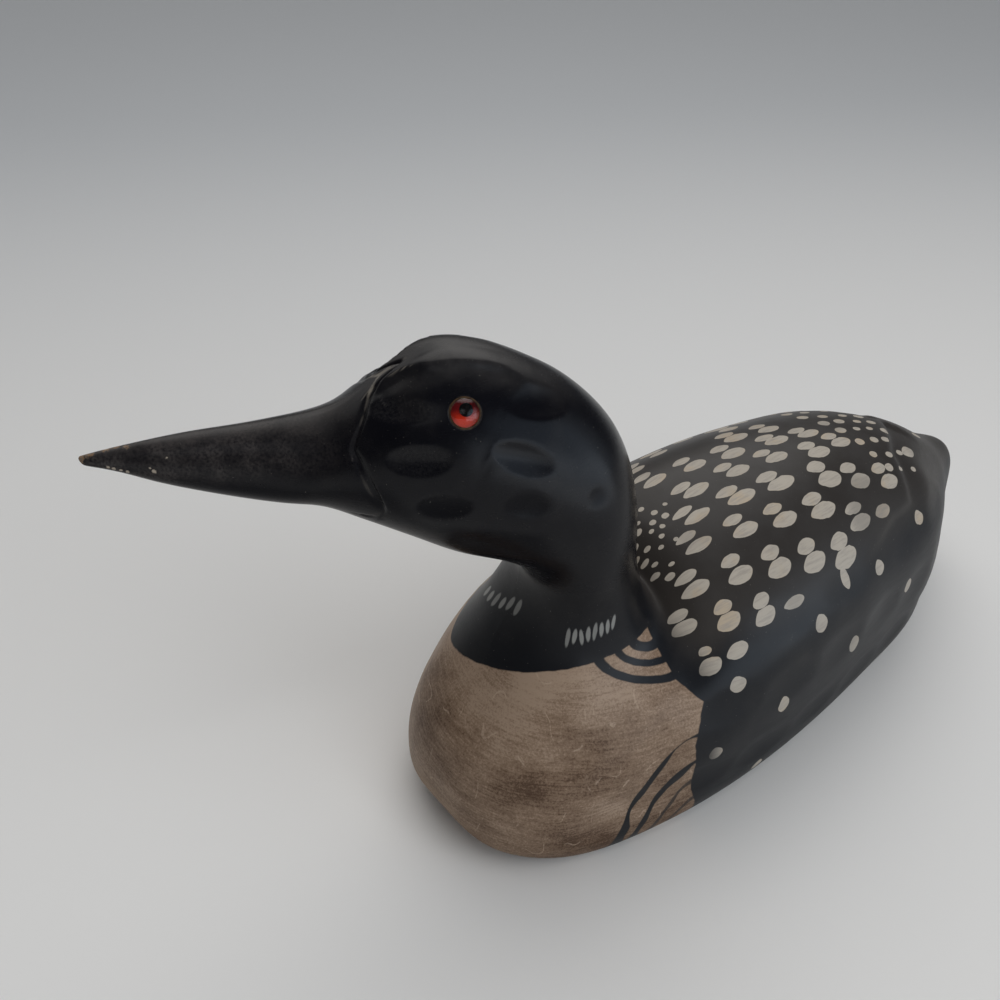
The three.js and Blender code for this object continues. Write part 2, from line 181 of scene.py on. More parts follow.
class Signal:
    """A number that varies over a surface. Python arithmetic on it adds Math nodes."""

    def __init__(self, bench: "NodeBench", socket: bpy.types.NodeSocket) -> None:
        """Wraps an output socket of a node that stands on the bench."""
        self.bench = bench
        self.socket = socket

    def math(self, operation: str, *others: "Value") -> "Signal":
        """Adds one Math node with this signal as its first value."""
        inputs = dict(enumerate((self, *others)))
        return self.bench.node("ShaderNodeMath", {"operation": operation}, inputs)

    def __add__(self, other: "Value") -> "Signal":
        """This plus another."""
        return self.math("ADD", other)

    __radd__ = __add__

    def __sub__(self, other: "Value") -> "Signal":
        """This less another."""
        return self.math("SUBTRACT", other)

    def __rsub__(self, other: "Value") -> "Signal":
        """Another less this."""
        return self.bench.node("ShaderNodeMath", {"operation": "SUBTRACT"}, {0: other, 1: self})

    def __mul__(self, other: "Value") -> "Signal":
        """This times another."""
        return self.math("MULTIPLY", other)

    __rmul__ = __mul__

    def __truediv__(self, other: "Value") -> "Signal":
        """This over another."""
        return self.math("DIVIDE", other)

    def __abs__(self) -> "Signal":
        """The size of this, without its sign."""
        return self.math("ABSOLUTE")

    def __lt__(self, other: "Value") -> "Signal":
        """1 where this is less than another, else 0."""
        return self.math("LESS_THAN", other)

    def __gt__(self, other: "Value") -> "Signal":
        """1 where this is greater than another, else 0."""
        return self.math("GREATER_THAN", other)

    def least(self, other: "Value") -> "Signal":
        """The lesser of this and another."""
        return self.math("MINIMUM", other)

    def most(self, other: "Value") -> "Signal":
        """The greater of this and another."""
        return self.math("MAXIMUM", other)

    def whole(self) -> "Signal":
        """The nearest whole number."""
        return self.math("ROUND")

    def squared(self) -> "Signal":
        """This times itself."""
        return self.math("MULTIPLY", self)

    def root(self) -> "Signal":
        """The square root."""
        return self.math("SQRT")

    def power(self, other: "Value") -> "Signal":
        """This to a power."""
        return self.math("POWER", other)

    def rise(self, low: float, high: float) -> "Signal":
        """A smooth step from 0 at low to 1 at high. With low above high it falls instead.

        Args:
            low: where the step is 0.
            high: where it is 1.

        Returns:
            The step, as one Map Range node.
        """
        settings = {"interpolation_type": "SMOOTHSTEP"}
        ends = {"Value": self, "From Min": low, "From Max": high}
        if low > high:
            ends.update({"From Min": high, "From Max": low, "To Min": 1.0, "To Max": 0.0})
        return self.bench.node("ShaderNodeMapRange", settings, ends)


Value = Union[Signal, float, int]
Axes = Tuple[Signal, Signal, Signal]


class NodeBench:
    """Adds nodes to a node tree."""

    def __init__(self, tree: bpy.types.NodeTree) -> None:
        """Takes the tree to build in."""
        self.tree = tree

    def node(self, kind: str, settings: dict, inputs: dict,
             output: Union[int, str] = 0) -> Signal:
        """Adds a node of any kind.

        Args:
            kind: Blender's name of the node type.
            settings: the node's own properties, set before its sockets.
            inputs: values or signals for sockets, by name or by number.
            output: which of its outputs is wanted.

        Returns:
            The wanted output.
        """
        made = self.tree.nodes.new(kind)
        for key, value in settings.items():
            setattr(made, key, value)
        for key, value in inputs.items():
            self.feed(made.inputs[key], value)
        return Signal(self, made.outputs[output])

    def feed(self, socket: bpy.types.NodeSocket,
             value: Union[Signal, float, Sequence[float]]) -> None:
        """Gives a socket a link or a plain value. A colour is opaque.

        Args:
            socket: the input socket.
            value: a signal, a number or a tuple of numbers.
        """
        if isinstance(value, Signal):
            self.tree.links.new(value.socket, socket)
        elif isinstance(value, tuple) and len(socket.default_value) > len(value):
            socket.default_value = (*value, 1.0)
        else:
            socket.default_value = value

    def blend(self, share: Value, under: Union[Signal, Colour], over: Union[Signal, Colour],
              way: str = "MIX") -> Signal:
        """Lays one colour over another.

        Args:
            share: how much of the upper colour shows, from 0 to 1.
            under: the lower colour.
            over: the upper colour.
            way: Blender's name of the way that they are mixed.

        Returns:
            The mixed colour.
        """
        under_socket, over_socket, colour_output = 6, 7, 2
        settings = {"data_type": "RGBA", "blend_type": way}
        inputs = {0: share, under_socket: under, over_socket: over}
        return self.node("ShaderNodeMix", settings, inputs, colour_output)

    def speckle(self, place: Signal, scale: float, detail: float, roughness: float) -> Signal:
        """Smooth noise between 0 and 1 at a place."""
        inputs = {"Vector": place, "Scale": scale, "Detail": detail, "Roughness": roughness}
        return self.node("ShaderNodeTexNoise", {}, inputs, output="Fac")

    def chance(self, number: Signal, seed: Value, output: str) -> Signal:
        """White noise from 0 to 1 that stays the same for one whole number and seed."""
        inputs = {"Vector": self.vector(number, seed, 0.5)}
        return self.node("ShaderNodeTexWhiteNoise", {"noise_dimensions": "3D"}, inputs, output)

    def chances(self, number: Signal, seed: Value) -> Axes:
        """Three random numbers from -0.5 to 0.5 for one whole number and seed.

        Args:
            number: the whole number.
            seed: another, for a series of its own.

        Returns:
            The three numbers.
        """
        parts = self.node("ShaderNodeSeparateColor", {}, {0: self.chance(number, seed, "Color")})
        one, two, three = (Signal(self, parts.socket.node.outputs[k]) - 0.5 for k in range(3))
        return one, two, three

    def vector(self, x: Value, y: Value, z: Value) -> Signal:
        """Joins three numbers to a vector."""
        return self.node("ShaderNodeCombineXYZ", {}, {0: x, 1: y, 2: z})

    def share(self, name: str) -> Signal:
        """A number that the mesh keeps for each of its vertices."""
        return self.node("ShaderNodeAttribute", {"attribute_name": name}, {}, output="Fac")

    def object_place(self) -> Signal:
        """The place on the piece in metres, which is also the place in the frame."""
        return self.node("ShaderNodeTexCoord", {}, {}, output="Object")

    def bump(self, height: Signal, strength: float, distance: float) -> Signal:
        """A normal that leans with the slope of a height given from 0 to 1."""
        inputs = {"Strength": strength, "Distance": distance, "Height": height}
        return self.node("ShaderNodeBump", {}, inputs, output="Normal")

    def axes(self, vector: Signal) -> Axes:
        """The three numbers of a vector."""
        x = self.node("ShaderNodeSeparateXYZ", {}, {0: vector})
        return x, Signal(self, x.socket.node.outputs[1]), Signal(self, x.socket.node.outputs[2])


class MaterialBench(NodeBench):
    """Builds one material's nodes."""

    def __init__(self, name: str) -> None:
        """Starts a material with an output and nothing else.

        Args:
            name: the material's name.
        """
        self.material = bpy.data.materials.new(name)
        self.material.use_nodes = True
        super().__init__(self.material.node_tree)
        self.tree.nodes.clear()
        self.output = self.tree.nodes.new("ShaderNodeOutputMaterial")

    def surface(self, settings: dict) -> bpy.types.Material:
        """Adds the Principled shader, joins it to the output and gives the material.

        Args:
            settings: values or signals by the shader's socket names.

        Returns:
            The finished material.
        """
        shader = self.node("ShaderNodeBsdfPrincipled", {}, settings)
        self.feed(self.output.inputs["Surface"], shader)
        return self.material


class GroupBench(NodeBench):
    """Builds a group of nodes that is used again and again with other numbers."""

    def __init__(self, name: str, inputs: Sequence[str]) -> None:
        """Starts a group with named number inputs.

        Args:
            name: the group's name.
            inputs: the inputs' names.
        """
        tree = bpy.data.node_groups.new(name, "ShaderNodeTree")
        super().__init__(tree)
        for title in inputs:
            tree.interface.new_socket(title, in_out="INPUT", socket_type="NodeSocketFloat")
        self.entry = tree.nodes.new("NodeGroupInput")

    def given(self, title: str) -> Signal:
        """One of the group's inputs."""
        return Signal(self, self.entry.outputs[title])

    def close(self, results: dict) -> bpy.types.NodeTree:
        """Gives the group its outputs, by name, and hands over its tree.

        Args:
            results: signals by the outputs' names.

        Returns:
            The finished tree.
        """
        for title in results:
            self.tree.interface.new_socket(title, in_out="OUTPUT", socket_type="NodeSocketFloat")
        leave = self.tree.nodes.new("NodeGroupOutput")
        for title, signal in results.items():
            self.tree.links.new(signal.socket, leave.inputs[title])
        return self.tree


@dataclass(frozen=True)
class Ramp:
    """A smooth step over a signal: 0 at low and most at high. With low above high it falls."""

    low: float
    high: float
    most: float = 1.0

    def of(self, signal: Signal) -> Signal:
        """The step over one signal."""
        return signal.rise(self.low, self.high) * self.most


@dataclass(frozen=True)
class Grain:
    """Smooth noise that is the same in all directions. Its scale is in waves a metre."""

    scale: float
    detail: float = 2.0
    roughness: float = 0.5

    def over(self, bench: NodeBench, place: Signal) -> Signal:
        """The noise, from 0 to 1, at a place in metres."""
        return bench.speckle(place, self.scale, self.detail, self.roughness)


@dataclass(frozen=True)
class Cloud:
    """Smooth noise with its own number of waves a millimetre along each axis.

    Lean slants it: the third axis grows by that share of the first.
    """

    waves: Place
    detail: float
    roughness: float = 0.5
    shift: Place = (0.0, 0.0, 0.0)
    lean: float = 0.0

    def over(self, bench: NodeBench, axes: Axes) -> Signal:
        """The noise, from 0 to 1, over three axes in millimetres.

        Args:
            bench: where the nodes are added.
            axes: the three axes.

        Returns:
            The noise.
        """
        first, second, third = (axis * wave + shift
                                for axis, wave, shift in zip(axes, self.waves, self.shift))
        return bench.speckle(bench.vector(first, second, third + axes[0] * self.lean), 1.0,
                             self.detail, self.roughness)


class Canvas:
    """The bird's skin as every layer of paint sees it: places in millimetres and shared noise.

    The girth is how far round the body a place lies from the ridge of the back.
    """

    wobble_grain = Grain(260.0)
    mottle_grain = Grain(55.0, 4.0, 0.6)
    dust_grain = Grain(1300.0, 2.0, 0.6)
    stipple_grain = Grain(1300.0, 3.0, 0.8)
    girth_radius = 57.0
    girth_height = 45.0

    def __init__(self, bench: NodeBench) -> None:
        """Adds the nodes that the layers share.

        Args:
            bench: the material that the layers are built in.
        """
        self.bench = bench
        self.place = bench.object_place()
        self.x, self.y, self.z = (axis * (1 / MM) for axis in bench.axes(self.place))
        self.girth = self.x.math("ARCTAN2", self.z - self.girth_height) * self.girth_radius
        self.wobble = self.wobble_grain.over(bench, self.place) - 0.5
        self.mottle, self.dust, self.stipple = (
            grain.over(bench, self.place)
            for grain in (self.mottle_grain, self.dust_grain, self.stipple_grain))

    @property
    def axes(self) -> Axes:
        """The three axes of the frame."""
        return self.x, self.y, self.z

    @property
    def flat_axes(self) -> Axes:
        """Along the bird and round it. The third axis only fills its place."""
        return self.y, self.girth, self.girth

    def away(self, middle: Place) -> Signal:
        """How many millimetres a place is from a given one."""
        dx, dy, dz = (axis - part for axis, part in zip(self.axes, middle))
        return (dx.squared() + dy.squared() + dz.squared()).root()


def widest(masks: Iterable[Signal]) -> Signal:
    """The greatest of several signals.

    Args:
        masks: the signals, at least one.

    Returns:
        The greatest at each place.
    """
    first, *others = masks
    for mask in others:
        first = first.most(mask)
    return first


@dataclass(frozen=True)
class BlackPaint:
    """Satin black, bluer on the head and browner on the back, with dust, wear and pale specks.

    The shares scooped, worn, edge and skyward are kept by the skin for it. Where worn and edge
    lighten the black, that is wear and a painted highlight on edges that catch the light; where
    skyward lays dust on faces that look up, that is dust and painted top light.
    """

    head: Colour = (0.0032, 0.0032, 0.0050)
    back: Colour = (0.0340, 0.0300, 0.0275)
    flank: Colour = (0.0085, 0.0092, 0.0115)
    dusty: Colour = (0.050, 0.047, 0.046)
    worn: Colour = (0.115, 0.105, 0.095)
    bared: Colour = (0.25, 0.225, 0.19)
    pale: Colour = (0.33, 0.30, 0.265)
    down_from_head: Ramp = Ramp(104.0, 76.0)
    mottling: Ramp = Ramp(0.45, 0.80, 0.07)
    edges: Ramp = Ramp(0.35, 1.0)
    edge_dust: Ramp = Ramp(0.25, 0.75, 0.4)
    cuts: Ramp = Ramp(0.25, 0.9)
    cut_dust: Ramp = Ramp(0.25, 0.45, 0.95)
    scoop_dust: Ramp = Ramp(0.30, 0.80, 0.22)
    settled_dust: Ramp = Ramp(0.30, 0.62)
    off_the_tail: Ramp = Ramp(120.0, 55.0, 0.55)
    speck_grain: Grain = Grain(2300.0, 1.0, 0.4)
    few_specks: Ramp = Ramp(0.77, 0.83, 0.5)

    def colour(self, canvas: Canvas, on_back: Signal) -> Signal:
        """The black's colour, layer by layer.

        Args:
            canvas: the bird's skin.
            on_back: 1 on the back, where the black is browner.

        Returns:
            The colour at each place.
        """
        bench, dust = canvas.bench, canvas.dust
        black = bench.blend(self.down_from_head.of(canvas.z), self.head, self.flank)
        # Faces that look up get a paler dusty colour: settled dust and painted top light, less of
        # it towards the tail.
        skyward = bench.share("skyward") * self.settled_dust.of(canvas.mottle)
        layers = (
            (on_back, self.back),
            (self.mottling.of(canvas.mottle), self.worn),
            # Sharp outward edges turn paler: worn paint and a painted highlight where the edges
            # catch the light.
            (self.edges.of(bench.share("edge")) * self.edge_dust.of(dust), self.worn),
            # Along the cut lines a pale colour: bare paint, and a painted highlight where a cut's
            # edge catches the light.
            (self.cuts.of(bench.share("worn")) * self.cut_dust.of(dust), self.bared),
            (bench.share("scooped") * self.scoop_dust.of(dust), self.dusty),
            (skyward * self.off_the_tail.of(canvas.y), self.dusty),
            (self.few_specks.of(self.speck_grain.over(bench, canvas.place)), self.pale),
        )
        for share, colour in layers:
            black = bench.blend(share, black, colour)
        return black


@dataclass(frozen=True)
class ShoulderFan:
    """Curved black bands at the rear end of the collar.

    The strips of wash between them are given as shares of the fan's own size, from its middle.
    """

    aft: float = -66.5
    lift: float = 1.0
    size: Tuple[float, float] = (24.0, 18.0)
    bowed: float = 1.6
    unsteady: float = 0.03
    soft: float = 0.012
    strips: Tuple[Span, ...] = ((0.70, 0.86), (0.45, 0.58), (-1.0, 0.28))

    def bare(self, canvas: Canvas, collar: Signal) -> Signal:
        """1 where the wash shows and 0 under a band, with the collar's height given.

        Args:
            canvas: the bird's skin.
            collar: the collar's height at each place.

        Returns:
            The share of wash that shows.
        """
        along = abs(canvas.y - self.aft) * (1 / self.size[0])
        down = abs(canvas.z - collar - self.lift) * (1 / self.size[1])
        fan = (along.power(self.bowed) + down.power(self.bowed)).power(1 / self.bowed)
        fan = fan + canvas.wobble * self.unsteady
        outside = fan.rise(1.0 - self.soft, 1.0 + self.soft)
        between = (fan.rise(inner - self.soft, inner + self.soft)
                   * fan.rise(outer + self.soft, outer - self.soft) for inner, outer in self.strips)
        return widest((outside, *between))


@dataclass(frozen=True)
class SideStripes:
    """Dark brush lines that sweep down the breast's sides.

    Each has its radius, its half width and how strongly it covers the wash.
    """

    aft: float = -60.0
    up: float = 5.0
    oval: float = 0.72
    wander: Cloud = Cloud((0.07, 0.07, 0.07), 1.0)
    stray: float = 5.0
    thickness: float = 1.25
    uneven: float = 3.0
    thinning: Ramp = Ramp(4.0, 46.0, 0.6)
    soft: float = 0.3
    lines: Tuple[Place, ...] = ((44.5, 1.75, 1.0), (34.7, 2.1, 1.0), (25.3, 1.45, 0.80),
                                (16.0, 1.20, 0.70))

    def cover(self, canvas: Canvas) -> Signal:
        """How strongly the lines cover the wash.

        Args:
            canvas: the bird's skin.

        Returns:
            A share from 0 to 1.
        """
        wander = self.wander.over(canvas.bench, canvas.axes) - 0.5
        across = (canvas.y - self.aft) * (1 / self.oval)
        radius = (across.squared() + (canvas.z - self.up).squared()).root() + wander * self.stray
        width = self.thickness + wander * self.uneven - self.thinning.of(canvas.z)
        return widest((abs(radius - middle) - width * half).rise(self.soft, -self.soft) * strength
                      for middle, half, strength in self.lines)


@dataclass(frozen=True)
class BreastWash:
    """The grey-brown wash of the breast, rubbed on unevenly, with a few fine scratches.

    The tone is the sum of clouds, streaks and stipple by their amounts, with painted light at the
    rims and on the far side, and painted shade low on the near side.
    """

    light: Colour = (0.375, 0.274, 0.198)
    middle: Colour = (0.215, 0.144, 0.096)
    dark: Colour = (0.085, 0.048, 0.029)
    scratch: Colour = (0.52, 0.40, 0.30)
    clouds: Cloud = Cloud((0.024, 0.024, 0.036), 5.0, 0.6, (3.0, 0.0, 0.0))
    streaks: Cloud = Cloud((0.10, 0.10, 1.3), 5.0, 0.7, lean=0.12)
    amounts: Tuple[float, float, float] = (0.50, 0.22, 0.28)
    waist: float = 44.0
    half_height: float = 40.0
    rim_lift: float = 0.04
    far_side: Ramp = Ramp(-16.0, -46.0, 0.13)
    low: Ramp = Ramp(40.0, 12.0)
    near_side: Ramp = Ramp(4.0, 34.0, 0.045)
    to_middle: Ramp = Ramp(0.39, 0.50)
    to_light: Ramp = Ramp(0.47, 0.61)
    crossing: Cloud = Cloud((0.10, 0.10, 0.045), 1.0, 0.4, (5.0, 0.0, 0.0))
    hairline: Ramp = Ramp(0.012, 0.004)
    patches: Cloud = Cloud((0.13, 0.13, 0.13), 1.0, 0.5, (9.0, 0.0, 0.0))
    few_patches: Ramp = Ramp(0.54, 0.60)
    broken: Ramp = Ramp(0.20, 0.55, 0.45)

    collar_height: float = 69.7
    collar_lean: float = 0.3
    collar_front: float = -112.0
    collar_climb: float = 0.04
    collar_far: float = -20.0
    collar_bow: float = 0.03
    rear: float = -66.0
    corner: Span = (46.0, 67.0)
    corner_slopes: Span = (14.0, 7.0)
    corner_reach: float = 5.4
    foot: Ramp = Ramp(28.0, 8.0, 5.0)
    unsteady: float = 0.8
    border: Ramp = Ramp(-0.25, 0.25)
    fan: ShoulderFan = ShoulderFan()
    stripes: SideStripes = SideStripes()

    def mask(self, canvas: Canvas) -> Signal:
        """1 where the wash shows: below the collar, ahead of the flank and off bands and lines.

        Args:
            canvas: the bird's skin.

        Returns:
            A share from 0 to 1.
        """
        x, y, z = canvas.axes
        far = (self.collar_far - x).most(0.0).squared() * self.collar_bow
        climb = (y - self.collar_front) * self.collar_climb
        collar = x * self.collar_lean + far + climb + self.collar_height
        below = self.border.of(collar - z + canvas.wobble * self.unsteady)
        (corner_foot, corner_top), (slope_up, slope_down) = self.corner, self.corner_slopes
        corner = ((corner_top - z) * (1 / slope_down)).least((z - corner_foot) * (1 / slope_up))
        edge = corner.most(0.0) * self.corner_reach + self.foot.of(z) + self.rear
        ahead = self.border.of(edge - y + canvas.wobble * self.unsteady)
        return below * ahead * self.fan.bare(canvas, collar) * (1.0 - self.stripes.cover(canvas))

    def colour(self, canvas: Canvas) -> Signal:
        """The wash's colour.

        Args:
            canvas: the bird's skin.

        Returns:
            The colour at each place.
        """
        bench, (x, _, z) = canvas.bench, canvas.axes
        noises = (self.clouds.over(bench, canvas.axes), self.streaks.over(bench, canvas.axes),
                  canvas.stipple)
        # Painted light: the wash turns lighter towards its upper and lower rims.
        rim = (abs(z - self.waist) * (1 / self.half_height)).least(1.0).squared() * self.rim_lift
        tone = sum(noise * amount for noise, amount in zip(noises, self.amounts))
        # Painted light on the far side, and painted shade low on the near side.
        tone = tone + rim + self.far_side.of(x) - self.low.of(z) * self.near_side.of(x)
        wash = bench.blend(self.to_middle.of(tone), self.dark, self.middle)
        wash = bench.blend(self.to_light.of(tone), wash, self.light)
        lines = self.hairline.of(abs(self.crossing.over(bench, canvas.axes) - 0.5))
        patches = self.few_patches.of(self.patches.over(bench, canvas.axes))
        return bench.blend(lines * patches * self.broken.of(canvas.dust), wash, self.scratch)


@dataclass(frozen=True)
class DotField:
    """Small round dots in rows, in millimetres along the back and round it from its ridge.

    A dot stands wherever a whole number of steps along and a whole number of steps down lead
    from the first one, moved and sized a little at random, as a hand does.

    Attributes:
        first: the place of the first dot.
        along: the step to the next dot of a row.
        down: the step to the next row.
        long: a dot's length.
        wide: a dot's width.
        stray: how far a dot may be off its place.
        uneven: the range of the dots' sizes, as a share.
        seed: the start of the field's random numbers.
        front: where the field starts, along the bird.
        rear: where it ends on the ridge.
        slant: how much sooner it ends with each millimetre down from the ridge.
        aside: how far down from the ridge it reaches.
        numbers_a_step: how far a dot's number grows with each step along.
        sunk: the depth taken off outside the field.
    """

    first: Tuple[float, float]
    along: Tuple[float, float]
    down: Tuple[float, float]
    long: float
    wide: float
    stray: float
    uneven: float
    seed: float
    front: float
    rear: float
    slant: float
    aside: float
    numbers_a_step: float = 17.0
    sunk: float = 9.0

    def depth(self, canvas: Canvas, y: Signal, girth: Signal) -> Signal:
        """How deep inside a dot each place is. It is below 0 off the dots.

        Args:
            canvas: the bird's skin.
            y: how far along a place is.
            girth: how far round it is.

        Returns:
            About twice the millimetres to the dot's edge.
        """
        (y0, t0), (ay, at), (by, bt) = self.first, self.along, self.down
        size = ay * bt - at * by
        from_y, from_t = y - y0, girth - t0
        across = (from_y * (bt / size) - from_t * (by / size)).whole()
        below = (from_t * (ay / size) - from_y * (at / size)).whole()
        number = across * self.numbers_a_step + below
        one, two, three = canvas.bench.chances(number, self.seed)
        middle_y = across * ay + below * by + y0 + one * (2.0 * self.stray)
        middle_t = across * at + below * bt + t0 + two * (2.0 * self.stray)
        u = (y - middle_y) * (2.0 / self.long)
        v = (girth - middle_t) * (2.0 / self.wide)
        reach = (u.squared() + v.squared()).root() / (three * self.uneven + 1.0)
        behind = (middle_y + abs(middle_t) * self.slant) < self.rear
        inside = behind * (middle_y > self.front) * (abs(middle_t) < self.aside)
        return (1.0 - reach) * self.wide + (inside - 1.0) * self.sunk


@dataclass(frozen=True)
class SpotRow:
    """A row of oval spots, each with a smaller one above it, or single ones.

    The places are millimetres along the bird and round its girth from the ridge of its back.

    Attributes:
        first: the place of the first spot.
        step: the way from one spot to the next.
        count: the number of spots.
        long: a spot's length.
        wide: a spot's width.
        tilt: how far a spot is turned, in degrees, with its tail end down.
        growth: the share by which each spot is larger than the one before.
        paired: whether a smaller spot stands above each one.
        upper: the way from a spot to the smaller one.
        upper_share: the smaller one's share of a spot's size.
        stray: how far a spot may be off its place.
        mirrored: whether the row stands on both sides.
    """

    first: Tuple[float, float]
    step: Tuple[float, float]
    count: int
    long: float
    wide: float
    tilt: float = 0.0
    growth: float = 0.0
    paired: bool = True
    upper: Tuple[float, float] = (-1.2, -5.6)
    upper_share: float = 0.78
    stray: float = 0.7
    mirrored: bool = True

    def depth(self, bench: NodeBench, group: bpy.types.NodeTree, y: Signal, girth: Signal,
              seed: float) -> Signal:
        """Stands the row on the bench and gives the depth inside its spots.

        Args:
            bench: where the nodes are added.
            group: the nodes of one row.
            y: how far along a place is.
            girth: how far round it is.
            seed: the start of the row's random numbers.

        Returns:
            The depth at each place.
        """
        turn = math.radians(self.tilt)
        numbers = {
            "Along": y, "Girth": girth, "First Along": self.first[0],
            "First Girth": self.first[1], "Step Along": self.step[0],
            "Step Girth": self.step[1], "Last": self.count - 1.0, "Long": self.long,
            "Wide": self.wide, "Cosine": math.cos(turn), "Sine": math.sin(turn),
            "Growth": self.growth, "Paired": float(self.paired), "Upper Along": self.upper[0],
            "Upper Girth": self.upper[1], "Upper Share": self.upper_share,
            "Stray": 2.0 * self.stray, "Seed": seed,
        }
        return bench.node("ShaderNodeGroup", {"node_tree": group}, numbers)


def one_spot(along: float, girth: float, long: float, wide: float, **others: object) -> SpotRow:
    """A spot that stands alone, or with only the smaller one above it."""
    unused_step = (40.0, 0.0)
    return SpotRow((along, girth), unused_step, 1, long, wide, **others)


@dataclass(frozen=True)
class SpotPaint:
    """Off-white oval spots over the back, the rump, the flanks and the tail.

    A spot is drawn out at one end by its taper and pointed by almond, and shrunk by its edge.
    """

    white: Colour = (0.44, 0.395, 0.335)
    thin: Colour = (0.33, 0.30, 0.265)
    cream: Colour = (0.47, 0.35, 0.22)
    faded: Colour = (0.235, 0.215, 0.190)
    taper: float = 0.14
    almond: float = 0.28
    fullness: float = 1.06
    shrink: float = 1.08
    girth_stray: float = 0.7
    half_way_up: float = 0.52
    uneven: float = 0.16
    edge: Ramp = Ramp(-0.12, 0.16)
    unsteady: Tuple[float, float] = (1.0, 0.8)
    ageing: Ramp = Ramp(0.50, 0.66, 0.45)
    dry: Cloud = Cloud((0.12, 0.9, 0.0), 4.0, 0.65)
    dry_share: Ramp = Ramp(0.42, 0.70)
    inner: Ramp = Ramp(0.2, 1.3, 0.85)
    fading: Cloud = Cloud((0.035, 0.035, 0.0), 2.0, 0.5, (0.0, 0.0, 7.0))
    faded_share: Ramp = Ramp(0.52, 0.70, 0.6)
    mirror_line: float = -4.5

    rows: Tuple[SpotRow, ...] = (
        SpotRow((-22.2, -15.3), (16.6, 4.35), 3, 12.6, 5.9, upper=(-0.8, -6.2), mirrored=False),
        SpotRow((23.8, -15.5), (16.2, 3.0), 2, 13.0, 6.2, upper=(-0.5, -5.6), mirrored=False),
        SpotRow((-17.6, 1.0), (20.0, 2.4), 3, 12.8, 5.4, upper=(-2.9, -5.0), mirrored=False),
        SpotRow((32.2, -2.6), (17.2, 2.8), 2, 13.4, 5.5, upper=(-2.2, -4.4), mirrored=False),
        SpotRow((-26.1, 11.2), (18.4, 2.9), 3, 12.8, 5.0, growth=0.10, upper=(-2.4, -5.1),
                mirrored=False),
        SpotRow((41.1, 11.6), (15.9, 0.0), 2, 13.0, 6.2, upper=(-1.4, -5.4), mirrored=False),
        SpotRow((-34.8, 21.2), (17.3, 4.2), 4, 10.9, 4.7, growth=0.12, upper=(-1.0, -5.6)),
        SpotRow((31.5, 25.0), (14.3, 5.8), 3, 13.2, 7.0, upper=(-0.4, -7.0)),
        SpotRow((-44.8, 34.6), (14.8, 4.4), 5, 10.2, 5.4, tilt=-6.0, growth=0.10,
                upper=(0.2, -6.0)),
        one_spot(31.3, 44.7, 14.0, 5.8, upper=(0.7, -5.8)),
        one_spot(47.0, 45.1, 11.3, 5.8, paired=False),
        SpotRow((-55.0, 46.0), (12.4, 4.2), 3, 8.8, 5.4, tilt=-14.0, growth=0.12,
                upper=(0.8, -5.2)),
        one_spot(-16.7, 55.6, 11.2, 4.5, paired=False),
        one_spot(-54.4, 61.6, 8.4, 5.6, tilt=-24.0, upper=(0.8, -5.6), upper_share=0.56),
        one_spot(-44.2, 60.4, 9.3, 5.3, tilt=-12.0, paired=False),
        one_spot(11.6, 58.2, 5.0, 9.0, tilt=-8.0, paired=False),
        SpotRow((-47.8, 70.3), (39.6, -4.2), 4, 6.6, 6.4, tilt=84.0, paired=False, stray=1.6),
        SpotRow((-27.0, 88.6), (41.0, -3.3), 3, 6.9, 6.0, tilt=86.0, paired=False, stray=1.2),
        SpotRow((-58.0, 95.0), (26.0, 22.0), 2, 6.0, 5.6, tilt=88.0, paired=False),
        SpotRow((91.8, 28.5), (31.0, -13.0), 2, 11.5, 7.4, paired=False),
    )
    nape_dots: DotField = DotField((-33.3, 1.9), (5.2, 1.2), (-3.4, 3.6), 2.3, 2.3, 0.8, 0.6, 5.0,
                                   front=-50.0, rear=-26.5, slant=0.85, aside=26.0)
    rump_dots: DotField = DotField((65.0, 4.6), (8.9, 2.5), (0.5, 9.1), 5.0, 3.9, 1.2, 0.5, 6.0,
                                   front=62.5, rear=96.0, slant=0.3, aside=38.0)

    def depth(self, canvas: Canvas) -> Signal:
        """How deep a place is inside any spot, or below 0 between them.

        Args:
            canvas: the bird's skin.

        Returns:
            The greatest depth of all rows and fields.
        """
        y = canvas.y + canvas.wobble * self.unsteady[0]
        girth = canvas.girth - canvas.wobble * self.unsteady[1]
        folded = abs(girth - self.mirror_line) + self.mirror_line
        group = self.row_group()
        rows = [row.depth(canvas.bench, group, y, folded if row.mirrored else girth, float(number))
                for number, row in enumerate(self.rows)]
        dots = [dots.depth(canvas, y, girth) for dots in (self.nape_dots, self.rump_dots)]
        return widest(rows + dots)

    def colour(self, canvas: Canvas, depth: Signal) -> Signal:
        """The paint of the spots, thin where the brush ran dry, and faded or aged in places.

        Args:
            canvas: the bird's skin.
            depth: how deep in a spot each place is.

        Returns:
            The colour at each place.
        """
        bench = canvas.bench
        dab = bench.blend(self.ageing.of(canvas.mottle), self.white, self.cream)
        dry = self.dry_share.of(self.dry.over(bench, canvas.flat_axes)) * self.inner.of(depth)
        dab = bench.blend(dry, dab, self.thin)
        fading = self.faded_share.of(self.fading.over(bench, canvas.flat_axes))
        return bench.blend(fading, dab, self.faded)

